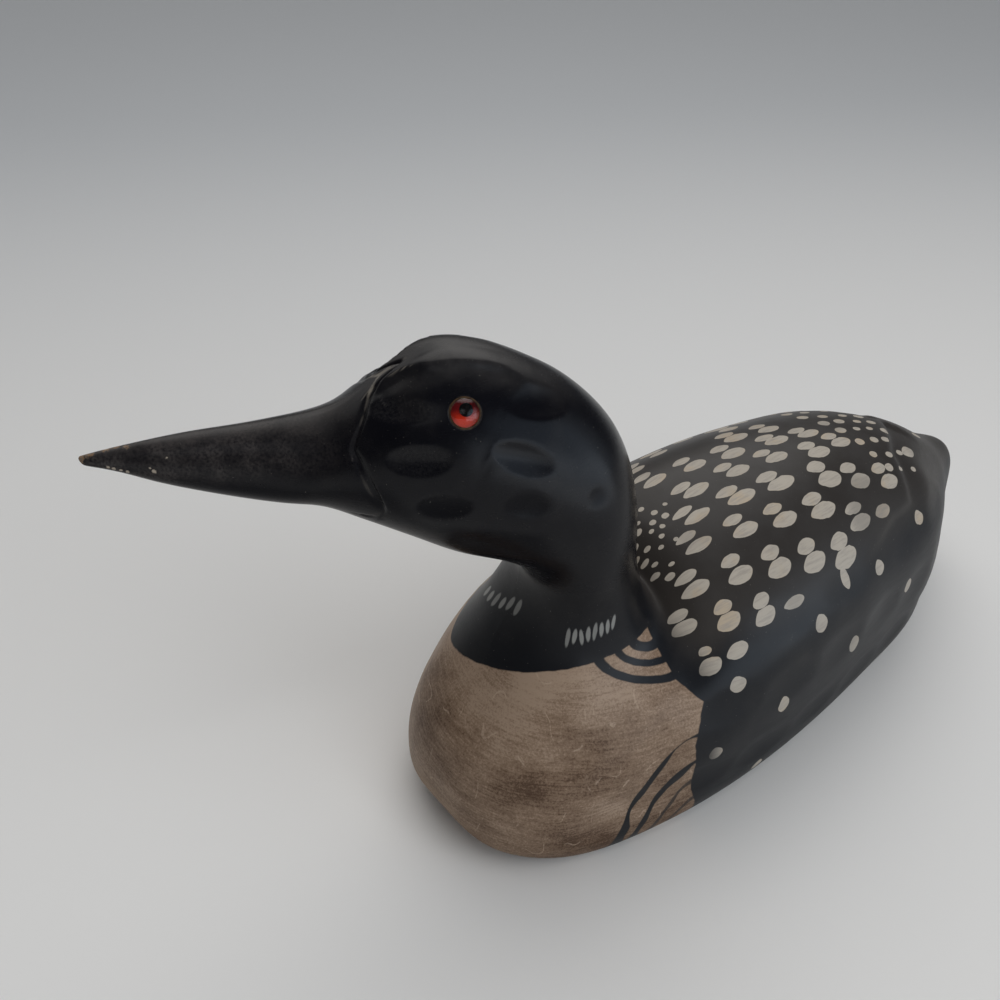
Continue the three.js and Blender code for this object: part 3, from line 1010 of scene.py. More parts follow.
    def row_group(self) -> bpy.types.NodeTree:
        """The nodes of one row of spots, which give how deep inside a spot a place is.

        That is about twice the millimetres to the spot's edge, and below 0 off the spot.

        Returns:
            The group's tree, with one output.
        """
        numbers = ("Along", "Girth", "First Along", "First Girth", "Step Along", "Step Girth",
                   "Last", "Long", "Wide", "Cosine", "Sine", "Growth", "Paired", "Upper Along",
                   "Upper Girth", "Upper Share", "Stray", "Seed")
        bench = GroupBench("row_of_spots", numbers)
        (y, girth, y0, t0, step_y, step_t, last, long, wide, cosine, sine, growth, paired,
         upper_y, upper_t, upper_share, stray, seed) = (bench.given(title) for title in numbers)
        ahead = (y - y0) * step_y + (girth - t0) * step_t
        number = (ahead / (step_y.squared() + step_t.squared())).whole().most(0.0).least(last)
        one, two, three = bench.chances(number, seed)
        dy = y - (number * step_y + y0 + one * stray)
        dt = girth - (number * step_t + t0 + two * stray * self.girth_stray)
        raised = (dt < upper_t * self.half_way_up) * paired
        dy = dy - raised * upper_y
        dt = dt - raised * upper_t
        size = (number * growth + three * self.uneven + 1.0) * (1.0 - raised * (1.0 - upper_share))
        u = (dy * cosine + dt * sine) * 2.0 / (long * size)
        v = (dt * cosine - dy * sine) * 2.0 / (wide * size)
        v = v / (u * self.taper + self.fullness - u.squared() * self.almond)
        reach = (u.squared() + v.squared()).root() * self.shrink
        return bench.close({"Depth": (1.0 - reach) * wide})


@dataclass(frozen=True)
class StrokeRow:
    """A short row of upright brush strokes round the neck.

    Attributes:
        first: the angle of its first stroke, in degrees.
        last: the angle of its last stroke.
        spacing: the angle from one stroke to the next.
        height: how high the first stroke's middle is, in millimetres.
        climb: how much higher the row gets with each degree.
        long: the strokes' length.
        wide: the strokes' width.
        lean: how far aside a stroke goes with each millimetre up.
        seed: the start of the row's random numbers.
    """

    first: float
    last: float
    spacing: float
    height: float
    climb: float
    long: float
    wide: float
    lean: float
    seed: float


@dataclass(frozen=True)
class NeckStrokes:
    """Rows of short pale strokes round the neck, one in front and one on each side.

    Angles are in degrees from the front, about an upright axis, and turn to the bird's left. The
    first random number of a stroke, reshuffled, serves as its second.
    """

    pale: Colour = (0.30, 0.30, 0.285)
    strength: float = 0.85
    axis_aft: float = -79.0
    radius: float = 26.0
    below_throat: Ramp = Ramp(112.0, 108.0)
    on_neck: Ramp = Ramp(39.0, 36.0)
    unsteady: Tuple[float, float] = (0.5, 0.6)
    height_stray: float = 1.4
    lean_stray: float = 0.35
    shortest: float = 0.82
    length_range: float = 0.35
    faintness: float = 0.28
    reshuffle: float = 7.0
    margin: float = 1.0
    edge: Ramp = Ramp(1.20, 0.80)
    rows: Tuple[StrokeRow, ...] = (
        StrokeRow(-44.0, 7.0, 10.2, 82.4, 0.150, 5.0, 2.5, 0.30, 1.0),
        StrokeRow(51.5, 82.5, 4.4, 87.2, 0.115, 5.9, 1.3, -0.03, 2.0),
        StrokeRow(-121.0, -90.0, 4.4, 91.0, -0.10, 5.9, 1.3, 0.03, 3.0),
    )

    def mask(self, canvas: Canvas) -> Signal:
        """How strongly a stroke covers each place.

        Args:
            canvas: the bird's skin.

        Returns:
            A share from 0 to 1.
        """
        y = canvas.y + canvas.wobble * self.unsteady[0] - self.axis_aft
        z = canvas.z + canvas.wobble * self.unsteady[1]
        angle = canvas.x.math("ARCTAN2", y * -1.0) * math.degrees(1.0)
        out = self.on_neck.of((canvas.x.squared() + y.squared()).root())
        strokes = widest(self.row_mask(canvas.bench, row, angle, z) for row in self.rows)
        return strokes * self.below_throat.of(z) * out * self.strength

    def row_mask(self, bench: NodeBench, row: StrokeRow, angle: Signal, z: Signal) -> Signal:
        """The strokes of one row, each moved, leaned and shortened a little at random.

        Args:
            bench: where the nodes are added.
            row: the row.
            angle: the angle of each place, in degrees.
            z: how high it is, in millimetres.

        Returns:
            A share from 0 to 1.
        """
        count = ((angle - row.first) * (1 / row.spacing)).whole()
        nearest = count * row.spacing + row.first
        chance = bench.chance(count, row.seed, "Value") - 0.5
        other = (chance * self.reshuffle).math("FRACT")
        climb = (nearest - row.first) * row.climb
        dz = z - (climb + row.height + chance * self.height_stray)
        lean = dz * (row.lean + chance * self.lean_stray)
        ds = (angle - nearest) * math.radians(self.radius) - lean
        long = other * self.length_range + self.shortest
        reach = ((ds * (2 / row.wide)).squared() + (dz * (2 / row.long) / long).squared()).root()
        within = (nearest > row.first - self.margin) * (nearest < row.last + self.margin)
        return self.edge.of(reach) * within * (1.0 - other * self.faintness)


@dataclass(frozen=True)
class BillWear:
    """Dust on top of the bill, bare wood at its tip and small chips behind it.

    Each bare place and chip has its middle and its reach. The dust on the top also stands for a
    painted highlight along it.
    """

    dust: Colour = (0.055, 0.048, 0.046)
    wood: Colour = (0.190, 0.120, 0.070)
    grime: Colour = (0.115, 0.105, 0.095)
    chip: Colour = (0.42, 0.36, 0.29)
    tip: Place = (-57.5, -203.5, 156.5)
    cloud: Grain = Grain(170.0, 4.0, 0.6)
    cloudy: Ramp = Ramp(0.36, 0.66, 0.6)
    least_cloud: float = 0.4
    dusting: Ramp = Ramp(0.15, 0.70, 0.80)
    along: Ramp = Ramp(85.0, 40.0)
    ridge_height: float = 148.5
    ridge_climb: float = 0.06
    above: Ramp = Ramp(-5.0, 3.0)
    ragged: Grain = Grain(900.0, 4.0, 0.75)
    ragged_range: float = 4.0
    grimy: Ramp = Ramp(0.45, 0.65)
    bare_soft: float = 0.35
    bare_ragged: float = 1.1
    bares: Tuple[Tuple[Place, float], ...] = (
        ((-57.8, -203.6, 156.4), 1.9), ((-57.0, -200.4, 157.4), 1.5),
        ((-55.5, -196.4, 158.0), 1.5), ((-53.9, -194.2, 158.4), 1.1),
        ((-51.8, -192.2, 158.8), 0.8),
    )
    chip_soft: float = 0.12
    chip_ragged: float = 0.30
    chip_strength: float = 0.85
    chips: Tuple[Tuple[Place, float], ...] = (
        ((-55.5, -196.4, 157.8), 0.75), ((-52.0, -197.9, 154.2), 0.50),
        ((-51.2, -196.8, 153.7), 0.55), ((-50.1, -195.4, 153.2), 0.45),
        ((-49.1, -194.0, 152.6), 0.50), ((-44.9, -189.3, 154.1), 0.35),
        ((-44.3, -188.6, 153.0), 0.60), ((-42.7, -185.0, 156.7), 0.30),
        ((-57.2, -203.2, 155.6), 0.55),
    )

    def over(self, canvas: Canvas, colour: Signal) -> Signal:
        """Lays the wear over a colour.

        Args:
            canvas: the bird's skin.
            colour: the paint so far.

        Returns:
            The colour with the wear on it.
        """
        bench = canvas.bench
        ragged = (self.ragged.over(bench, canvas.place) - 0.5) * self.ragged_range
        from_tip = canvas.away(self.tip)
        cloud = self.cloudy.of(self.cloud.over(bench, canvas.place)) + self.least_cloud
        above = self.above.of(canvas.z - from_tip * self.ridge_climb - self.ridge_height)
        # Dust and a painted highlight along the top of the bill, above its ridge line.
        dusted_and_highlit = self.along.of(from_tip) * cloud * self.dusting.of(canvas.dust) * above
        colour = bench.blend(dusted_and_highlit, colour, self.dust)
        bare = self.patches(canvas, self.bares, ragged * self.bare_ragged, self.bare_soft)
        wood = bench.blend(self.grimy.of(canvas.dust), self.wood, self.grime)
        colour = bench.blend(bare, colour, wood)
        chips = self.patches(canvas, self.chips, ragged * self.chip_ragged, self.chip_soft)
        return bench.blend(chips * self.chip_strength, colour, self.chip)

    def patches(self, canvas: Canvas, places: Iterable[Tuple[Place, float]], ragged: Signal,
                soft: float) -> Signal:
        """1 within the reach of any of some places, with a ragged rim.

        Args:
            canvas: the bird's skin.
            places: the places, each with its reach.
            ragged: how far the rim strays.
            soft: how soft the rim is.

        Returns:
            A share from 0 to 1.
        """
        return widest((canvas.away(middle) + ragged).rise(reach + soft, reach - soft)
                      for middle, reach in places)


@dataclass(frozen=True)
class LoonPaint:
    """Hand-painted plumage: black head and back, grey-brown washed breast and off-white spots."""

    name: str = "hand_painted_wood"
    black: BlackPaint = BlackPaint()
    wash: BreastWash = BreastWash()
    spots: SpotPaint = SpotPaint()
    strokes: NeckStrokes = NeckStrokes()
    bill: BillWear = BillWear()
    below_neck: Ramp = Ramp(112.0, 98.0)
    behind_breast: Ramp = Ramp(-64.0, -52.0)
    round_back: Ramp = Ramp(66.0, 48.0)

    brush: Cloud = Cloud((0.35, 0.12, 0.9), 4.0, 0.6)
    pores: Grain = Grain(1500.0, 1.0)
    roughness: float = 0.20
    brush_roughness: float = 0.12
    body_roughness: Ramp = Ramp(112.0, 84.0, 0.16)
    wash_roughness: float = 0.20
    spot_roughness: float = 0.10
    brush_height: float = 0.5
    pore_height: float = 0.25
    wash_height: float = 0.35
    bump_strength: float = 0.35
    bump_distance: float = 0.0002
    specular: float = 0.08
    coat: float = 0.24
    coat_lost: Ramp = Ramp(30.0, 110.0, 0.18)
    coat_roughness: float = 0.25

    def build(self) -> bpy.types.Material:
        """Makes the material.

        Returns:
            The finished material.
        """
        bench = MaterialBench(self.name)
        canvas = Canvas(bench)
        breast = self.wash.mask(canvas)
        depth = self.spots.depth(canvas)
        spots = self.spots.edge.of(depth)
        on_body = self.below_neck.of(canvas.z) * self.behind_breast.of(canvas.y)
        on_back = on_body * self.round_back.of(abs(canvas.girth))

        colour = self.black.colour(canvas, on_back)
        colour = bench.blend(breast, colour, self.wash.colour(canvas))
        dab = self.spots.colour(canvas, depth)
        colour = bench.blend(spots * on_body * (1.0 - breast), colour, dab)
        colour = bench.blend(self.strokes.mask(canvas), colour, self.strokes.pale)
        colour = self.bill.over(canvas, colour)

        brush = self.brush.over(bench, canvas.axes)
        rough = brush * self.brush_roughness + self.body_roughness.of(canvas.z) + self.roughness
        rough = rough + breast * self.wash_roughness + spots * self.spot_roughness
        pores = self.pores.over(bench, canvas.place) * self.pore_height
        height = brush * self.brush_height + pores + canvas.stipple * breast * self.wash_height
        return bench.surface({
            "Base Color": colour,
            "Roughness": rough,
            "Normal": bench.bump(height, self.bump_strength, self.bump_distance),
            "Specular IOR Level": self.specular,
            "Coat Weight": bench.share("sheen") * (self.coat - self.coat_lost.of(canvas.y)),
            "Coat Roughness": self.coat_roughness,
        })


@dataclass(frozen=True)
class EyeGlass:
    """Clear glass over the painted iris."""

    name: str = "clear_eye_glass"
    tint: Colour = (1.0, 0.96, 0.94)
    roughness: float = 0.02
    ior: float = 1.5
    specular: float = 0.35

    def build(self) -> bpy.types.Material:
        """Makes the material from plain values."""
        return MaterialBench(self.name).surface({
            "Base Color": self.tint,
            "Roughness": self.roughness,
            "IOR": self.ior,
            "Specular IOR Level": self.specular,
            "Transmission Weight": 1.0,
        })


@dataclass(frozen=True)
class IrisPaint:
    """Red paint behind the glass, with painted shade at the top, under the brow, and painted light
    below.
    """

    height: float
    name: str = "red_iris"
    upper: Colour = (0.11, 0.003, 0.004)
    lower: Colour = (0.66, 0.038, 0.012)
    cloud: Grain = Grain(700.0, 3.0)
    uneven: float = 1.2
    downwards: Ramp = Ramp(0.8, -2.4)
    roughness: float = 0.5
    clouded: float = 0.1

    def build(self) -> bpy.types.Material:
        """Makes the material.

        Returns:
            The finished material.
        """
        bench = MaterialBench(self.name)
        place = bench.object_place()
        cloud = self.cloud.over(bench, place)
        # Painted shade at the top of the iris and painted light towards its bottom, where light
        # through the glass gathers.
        rising = bench.axes(place)[2] * (1 / MM) - self.height + (cloud - 0.5) * self.uneven
        return bench.surface({
            "Base Color": bench.blend(self.downwards.of(rising), self.upper, self.lower),
            "Roughness": cloud * self.clouded + self.roughness,
            "Specular IOR Level": 0.0,
        })


@dataclass(frozen=True)
class PlainPaint:
    """A small painted part with a slight mottle."""

    name: str
    colour: Colour
    other: Colour
    roughness: float = 0.6
    specular: float = 0.5
    cloud: Grain = Grain(900.0, 3.0)
    mottled: Ramp = Ramp(0.35, 0.7)
    clouded: float = 0.15
    bump_strength: float = 0.3
    bump_distance: float = 0.0001

    def build(self) -> bpy.types.Material:
        """Makes the material.

        Returns:
            The finished material.
        """
        bench = MaterialBench(self.name)
        cloud = self.cloud.over(bench, bench.object_place())
        return bench.surface({
            "Base Color": bench.blend(self.mottled.of(cloud), self.colour, self.other),
            "Roughness": cloud * self.clouded + self.roughness,
            "Normal": bench.bump(cloud, self.bump_strength, self.bump_distance),
            "Specular IOR Level": self.specular,
        })


@dataclass(frozen=True)
class GougeMark:
    """One shallow oval scoop on each side of the bird.

    The solid has it as a soft dish, with its length, width and depth given by soft and deep. The
    skin has it with the crisp rim that the tool left. One whose crisp depth is 0 is only filled.
    Dull is how much sheen the paint has lost in it, and dusty is how much dust has settled.
    """

    middle: Place
    soft: Span
    crisp: Span
    deep: float
    tilt: float
    crisp_deep: float
    dull: float = 0.0
    dusty: float = 0.0
    lip: float = 0.10
    seat_points: int = 12

    def depths(self, points: np.ndarray, normals: np.ndarray, crisp: bool) -> np.ndarray:
        """How deep the scoop is at each point, in millimetres.

        Args:
            points: places with X mirrored to the left side, in the mark's own frame.
            normals: the directions out of the skin there.
            crisp: whether the rim is crisp or the soft one of the solid is wanted.

        Returns:
            One depth for each point.
        """
        middle = np.array(self.middle)
        near = np.linalg.norm(points - middle, axis=1)
        chosen = normals[np.argsort(near)[:self.seat_points]].mean(axis=0)
        out = chosen / np.linalg.norm(chosen)
        aft = np.cross([0.0, 0.0, 1.0], out)
        aft /= np.linalg.norm(aft)
        up = np.cross(out, aft)
        turn = math.radians(self.tilt)
        lengthwise = aft * math.cos(turn) + up * math.sin(turn)
        crosswise = up * math.cos(turn) - aft * math.sin(turn)
        long, wide = self.crisp if crisp else self.soft
        offset = points - middle
        a = offset @ lengthwise * (2 / long)
        b = offset @ crosswise * (2 / wide)
        inside = 1.0 - a * a - b * b
        inside[near > long] = 0.0
        if not crisp:
            return self.deep * smooth_share(inside)
        held = np.maximum(inside, 0.0)
        rounded = held * held / (2 * self.lip)
        return self.crisp_deep * np.where(held < self.lip, rounded, held - self.lip / 2)


@dataclass(frozen=True)
class FlankRow:
    """A row of long shallow gouge marks on each side of the body.

    The first one's place and the step to the next say how far aft and how high they lie. Each
    sits on the outermost skin there, for which a millimetre further out weighs as much as the
    given share of a millimetre off its place.
    """

    first: Span
    step: Span
    count: int
    size: Span
    deep: float
    tilt: float
    outward: float = 0.05

    def marks(self, points: np.ndarray) -> list:
        """The row's marks, each seated on the outermost skin at its place.

        Args:
            points: the skin's places, with X mirrored to the left side.

        Returns:
            One mark for each place of the row.
        """
        made = []
        for k in range(self.count):
            aft, up = (start + k * step for start, step in zip(self.first, self.step))
            miss = np.hypot(points[:, 1] - aft, points[:, 2] - up) - self.outward * points[:, 0]
            seat = tuple(points[np.argmin(miss)])
            made.append(GougeMark(seat, self.size, self.size, self.deep, self.tilt, self.deep))
        return made


@dataclass(frozen=True)
class CutLine:
    """A knife or gouge line on each side of the head, through a few places in its own frame.

    Worn is how bare its paint is, and in part a painted highlight where the cut's edge catches the
    light; ends is how much of its length it takes to run out.
    """

    places: Tuple[Place, ...]
    width: float
    deep: float
    worn: float
    ends: Span = (0.25, 0.25)
    least_width: float = 0.2

    def depths(self, points: np.ndarray) -> np.ndarray:
        """How deep the line is cut at each point, in millimetres.

        Args:
            points: places in the straightened head's frame, with X mirrored to the left side.

        Returns:
            One depth for each point.
        """
        away, where, _ = nearest_on_line(points, np.array(self.places))
        fade = np.sqrt(line_fade(where, self.ends))
        half = self.width / 2 * np.maximum(fade, self.least_width)
        return self.deep * fade * np.clip(1.0 - away / half, 0.0, 1.0)


@dataclass(frozen=True)
class Ledge:
    """A crisp edge on each side of the bird, with a hollow on one side that runs out softly.

    Toward points from the edge to the hollow, which is full at near and gone at reach. The edge
    itself may be raised, and falls off over its spread.
    """

    places: Tuple[Place, ...]
    toward: Place
    deep: float
    near: float
    reach: float
    ends: Span
    raised: float = 0.0
    spread: float = 9.0
    ridge_power: float = 1.4

    def depths(self, points: np.ndarray) -> np.ndarray:
        """How deep the hollow is at each point, in millimetres.

        Args:
            points: places with X mirrored to the left side.

        Returns:
            One depth for each point.
        """
        away, where, offset = nearest_on_line(points, np.array(self.places))
        side = np.array(self.toward)
        below = offset @ (side / np.linalg.norm(side)) > 0.0
        fade = line_fade(where, self.ends)
        start = np.clip(away / self.near, 0.0, 1.0)
        stop = 1.0 - smooth_share((away - self.near) / (self.reach - self.near))
        ridge = np.clip(1.0 - away / self.spread, 0.0, 1.0) ** self.ridge_power
        return fade * (self.deep * below * start * stop - self.raised * ridge)


@dataclass(frozen=True)
class EyeSeat:
    """Where an eye sits: the middle of its rim and the direction that it looks in.

    The shank is how far the solid's flat back lies behind the rim. Beyond the depth, along the
    axis, nothing belongs to the eye.
    """

    middle: Vector
    out: Vector
    shank: ClassVar[float] = 3.2
    depth: ClassVar[float] = 8.0

    @classmethod
    def of(cls, side: Side) -> "EyeSeat":
        """Reads the seat of one eye from its solid, whose largest flat face is its back.

        Args:
            side: the side of the head.

        Returns:
            The seat, in metres.
        """
        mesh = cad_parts[f"{side.word}_eye"].data
        facings: dict = {}
        for polygon in mesh.polygons:
            key = tuple(round(value, 2) for value in polygon.normal)
            area, centre = facings.get(key, (0.0, Vector()))
            facings[key] = (area + polygon.area, centre + polygon.center * polygon.area)
        normal, (area, centre) = max(facings.items(), key=lambda item: item[1][0])
        out = -Vector(normal).normalized()
        return cls(middle=centre / area + out * (cls.shank * MM), out=out)

    def reach(self, place: Vector) -> float:
        """How far a place is from the eye's axis, or endlessly far if it is away from the eye.

        Args:
            place: the place, in metres.

        Returns:
            The distance, in metres.
        """
        offset = place - self.middle
        along = offset.dot(self.out)
        if abs(along) > self.depth * MM:
            return math.inf
        return (offset - self.out * along).length

    def drawn_in(self, place: Vector, drop: float, share: float) -> Vector:
        """A place moved in along the axis, and towards it by a share.

        Args:
            place: the place, in metres.
            drop: how far in, in metres.
            share: the share of its distance from the axis that it keeps.

        Returns:
            The new place.
        """
        offset = place - self.middle
        along = offset.dot(self.out)
        across = offset - self.out * along
        return self.middle + self.out * (along - drop) + across * share

    def stood(self) -> Matrix:
        """The matrix that stands a shape made upright at the origin in the seat."""
        turn = self.out.to_track_quat("Z", "Y").to_matrix().to_4x4()
        return Matrix.Translation(self.middle) @ turn


@dataclass
class LoonSkin:
    """The carved surface of the bird: the solid's form with the fine carving in it."""

    node: str = "carved_loon"
    name: str = "loon_skin"
    merge: float = 0.01
    rounds: int = 2
    socket_reach: float = 4.45
    lip_drop: float = 0.35
    wall_drop: float = 1.6
    full_bend: float = 0.28
    rim_pull: float = 0.97
    full_mark: float = 0.35
    head_from: float = 95.0
    sole: float = 1.0
    brow_kept: float = 0.5
    skyward: Span = (0.70, 0.98)
    neck_side: Tuple[Span, Span] = ((-105.0, -80.0), (84.0, 96.0))
    cheek: Tuple[Span, Span] = ((-140.0, -125.0), (128.0, 140.0))
    facing: Span = (-0.20, 0.10)
    rubbed_more: float = 0.35
    paint: LoonPaint = LoonPaint()
    marks: Tuple[GougeMark, ...] = (
        GougeMark((14.9, -132.3, 170.4), (22.1, 9.0), (21.0, 7.8), 1.20, 10.0, 1.05, dusty=1.0),
        GougeMark((22.5, -128.9, 158.4), (21.1, 10.6), (18.6, 8.8), 1.39, 0.0, 1.25, dusty=0.8),
        GougeMark((24.1, -122.8, 144.0), (19.2, 11.0), (17.0, 9.6), 1.30, 0.0, 1.35, dull=1.0),
        GougeMark((14.3, -96.2, 169.0), (23.0, 12.0), (22.0, 11.0), 1.39, -23.0, 1.35, dull=0.1),
        GougeMark((23.7, -100.8, 156.6), (22.1, 11.0), (19.6, 9.0), 1.39, -27.0, 1.35),
        GougeMark((26.0, -100.7, 142.8), (16.3, 10.1), (15.0, 9.4), 0.77, -10.0, 0.85, dull=0.6),
        GougeMark((23.5, -79.8, 141.6), (9.1, 8.2), (7.5, 6.5), 0.48, 0.0, 0.40, dull=0.6),
        GougeMark((11.4, -120.8, 177.2), (34.6, 9.6), (34.6, 9.6), 1.30, 4.0, 0.0),
    )
    # The worn share of these lines lays a pale colour along them: bare paint in the cuts, and a
    # painted highlight on edges that catch the light, as along the brow's edge in the second line.
    cuts: Tuple[CutLine, ...] = (
        CutLine(((0.3, -127.0, 178.6), (0.3, -131.5, 176.2), (0.3, -136.4, 172.6),
                 (4.6, -139.8, 170.0), (9.3, -141.6, 167.4), (12.8, -143.6, 164.0),
                 (15.3, -147.0, 159.0)), 2.0, 0.06, 1.0, (0.08, 0.2)),
        CutLine(((3.9, -135.8, 172.8), (4.2, -131.0, 175.9), (5.4, -128.0, 177.4),
                 (6.8, -124.8, 178.4)), 1.5, 0.04, 0.8, (0.25, 0.45)),
        CutLine(((0.5, -115.8, 180.4), (0.8, -111.0, 180.0)), 1.3, 0.03, 0.6),
        CutLine(((1.0, -134.5, 175.0), (3.0, -139.5, 170.9), (5.5, -142.8, 167.6)), 1.2, 0.05, 0.9),
        CutLine(((14.8, -145.2, 161.0), (17.3, -144.7, 157.0), (18.6, -144.1, 153.1),
                 (19.6, -142.2, 148.1), (19.5, -139.6, 143.1)), 4.2, 0.55, 0.45, (0.6, 0.25)),
        CutLine(((12.5, -149.8, 138.6), (14.5, -146.0, 138.0), (16.5, -141.5, 137.6),
                 (18.0, -137.3, 137.4)), 1.6, 1.2, 0.0, (0.5, 0.3)),
    )
    brow: Ledge = Ledge(((4.6, -140.2, 168.8), (3.7, -138.0, 171.0), (3.6, -133.1, 174.6),
                         (4.3, -130.4, 176.2), (5.8, -127.5, 177.5), (7.3, -123.7, 178.5),
                         (7.8, -120.6, 178.8), (7.7, -117.2, 178.8), (7.4, -110.9, 178.2),
                         (7.1, -107.0, 177.2), (7.4, -103.0, 175.8), (9.0, -98.3, 173.1),
                         (11.0, -94.5, 170.5)),
                        (0.8, 0.0, -0.6), 1.2, 2.4, 17.0, (0.12, 0.25), raised=0.70)
    wing: Ledge = Ledge(((0.0, 103.0, 85.5), (10.0, 91.0, 89.0), (20.0, 78.0, 90.0),
                         (33.0, 70.2, 84.6), (39.5, 66.0, 80.0), (44.0, 52.0, 82.0),
                         (48.5, 36.0, 79.5), (52.0, 20.0, 77.0)),
                        (0.35, 0.75, -0.55), 1.3, 2.6, 22.0, (0.02, 0.55))
    flank_rows: Tuple[FlankRow, ...] = (
        FlankRow((123.5, 46.5), (-29.4, 1.5), 7, (33.0, 15.5), 0.60, 4.0),
        FlankRow((115.0, 26.2), (-29.6, 0.5), 8, (33.0, 15.5), 0.60, 2.0),
        FlankRow((88.0, 69.4), (-37.4, 1.9), 4, (31.0, 16.0), 0.45, -8.0),
        FlankRow((-104.0, 24.0), (-2.0, 27.0), 2, (23.0, 19.0), 0.30, 12.0),
    )

    def build(self) -> bpy.types.Object:
        """Makes the skin and hides the solid that it stands for.

        Returns:
            The piece.
        """
        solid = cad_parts[self.node]
        coarse = self.open_form(solid.data)
        self.fill_soft_marks(coarse)
        fine = self.subdivided(coarse)
        self.carve(fine)
        piece = bpy.data.objects.new(self.name, fine)
        bpy.context.scene.collection.objects.link(piece)
        fine.materials.clear()
        fine.materials.append(self.paint.build())
        for polygon in fine.polygons:
            polygon.use_smooth = True
        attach(piece, ROOT)
        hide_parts(self.node)
        return piece

    def open_form(self, source: bpy.types.Mesh) -> bmesh.types.BMesh:
        """Copies the solid, joins its triangles to quads and opens its eye sockets.

        Args:
            source: the solid's mesh, which stays as it is.

        Returns:
            The opened form.
        """
        form = bmesh.new()
        form.from_mesh(source)
        bmesh.ops.remove_doubles(form, verts=form.verts, dist=self.merge * MM)
        wide_open = math.pi
        bmesh.ops.join_triangles(form, faces=form.faces, cmp_seam=False, cmp_sharp=False,
                                 cmp_uvs=False, cmp_vcols=False, cmp_materials=False,
                                 angle_face_threshold=wide_open, angle_shape_threshold=wide_open)
        for side in Side:
            seat = EyeSeat.of(side)
            inner = [face for face in form.faces
                     if all(seat.reach(vert.co) < self.socket_reach * MM for vert in face.verts)]
            rim = {edge for face in inner for edge in face.edges}
            bmesh.ops.delete(form, geom=inner, context="FACES")
            rim = [edge for edge in rim if edge.is_valid and edge.is_boundary]
            for drop in (self.lip_drop, self.wall_drop):
                made = bmesh.ops.extrude_edge_only(form, edges=rim)
                verts = [item for item in made["geom"] if isinstance(item, bmesh.types.BMVert)]
                rim = [item for item in made["geom"] if isinstance(item, bmesh.types.BMEdge)]
                rim = [edge for edge in rim if edge.is_boundary]
                for vert in verts:
                    vert.co = seat.drawn_in(vert.co, drop * MM, self.rim_pull)
        bmesh.ops.recalc_face_normals(form, faces=form.faces)
        return form

    def fill_soft_marks(self, form: bmesh.types.BMesh) -> None:
        """Fills the soft dishes of the head, so that crisp ones can be cut in the fine skin.

        Args:
            form: the form to change.
        """
        form.normal_update()
        points = np.array([vert.co for vert in form.verts]) / MM
        normals = np.array([vert.normal for vert in form.verts])
        own, out = self.in_head(points, normals)
        depth = np.zeros(len(points))
        for mark in self.marks:
            depth = np.maximum(depth, mark.depths(own, out, crisp=False))
        for vert, filled, normal in zip(form.verts, depth, normals):
            if filled > 0.0:
                vert.co += Vector(normal) * (filled * MM)

    def in_head(self, points: np.ndarray, normals: np.ndarray) -> Tuple[np.ndarray, np.ndarray]:
        """Places and directions in the straight head's frame, mirrored to the left side."""
        origin = HEAD.straightened(np.zeros((1, 3)))
        return to_left(HEAD.straightened(points), HEAD.straightened(normals) - origin)

    def subdivided(self, form: bmesh.types.BMesh) -> bpy.types.Mesh:
        """Rounds the form with a subdivision surface and gives back the fine mesh.

        Args:
            form: the form, which is freed.

        Returns:
            The fine mesh.
        """
        mesh = bpy.data.meshes.new("loon_form")
        form.to_mesh(mesh)
        form.free()
        holder = bpy.data.objects.new("loon_form", mesh)
        bpy.context.scene.collection.objects.link(holder)
        rounding = holder.modifiers.new("rounding", "SUBSURF")
        rounding.levels = self.rounds
        rounding.render_levels = self.rounds
        evaluated = holder.evaluated_get(bpy.context.evaluated_depsgraph_get())
        fine = bpy.data.meshes.new_from_object(evaluated)
        bpy.data.objects.remove(holder)
        bpy.data.meshes.remove(mesh)
        return fine

    def carve(self, mesh: bpy.types.Mesh) -> None:
        """Cuts the crisp marks and lines into the fine mesh, and keeps what the paint reads.

        Args:
            mesh: the fine mesh to change.
        """
        points, normals = skin_points(mesh)
        own, out = self.in_head(points, normals)
        on_head = points[:, 2] > self.head_from
        scooped, dulled, dusty, cut, worn = np.zeros((5, len(points)))
        for mark in self.marks:
            depth = mark.depths(own, out, crisp=True) * on_head
            inside = np.clip(depth / self.full_mark, 0.0, 1.0)
            scooped = np.maximum(scooped, depth)
            dulled = np.maximum(dulled, inside * mark.dull)
            dusty = np.maximum(dusty, inside * mark.dusty)
        brow = self.brow.depths(own) * on_head
        for line in self.cuts:
            depth = line.depths(own) * on_head
            cut += depth
            # The worn share is bare paint along the cuts and, where an edge catches the light, a
            # painted highlight.
            worn = np.maximum(worn, depth / line.deep * line.worn)

        mirrored, outward = to_left(points, normals)
        on_body = (points[:, 2] < self.head_from) & (points[:, 2] > self.sole)
        planed = self.wing.depths(mirrored) * on_body
        for row in self.flank_rows:
            for mark in row.marks(mirrored):
                planed = np.maximum(planed, mark.depths(mirrored, outward, crisp=True) * on_body)
        brow -= np.clip(brow, 0.0, scooped * self.brow_kept)
        points -= normals * (scooped + brow + cut + planed)[:, None]
        mesh.vertices.foreach_set("co", (points * MM).ravel())
        mesh.update()
        rubbed = np.maximum(*(smooth_step(own[:, 1], aft) * smooth_step(points[:, 2], up)
                              for aft, up in (self.neck_side, self.cheek)))
        facing = smooth_step(normals[:, 2] + self.rubbed_more * rubbed, self.facing)
        self.keep_share(mesh, "scooped", dusty)
        self.keep_share(mesh, "worn", worn)
        # The skyward share lays dust and painted top light on faces that look up.
        self.keep_share(mesh, "skyward", smooth_step(normals[:, 2], self.skyward))
        self.keep_share(mesh, "sheen", facing * (1.0 - dulled))
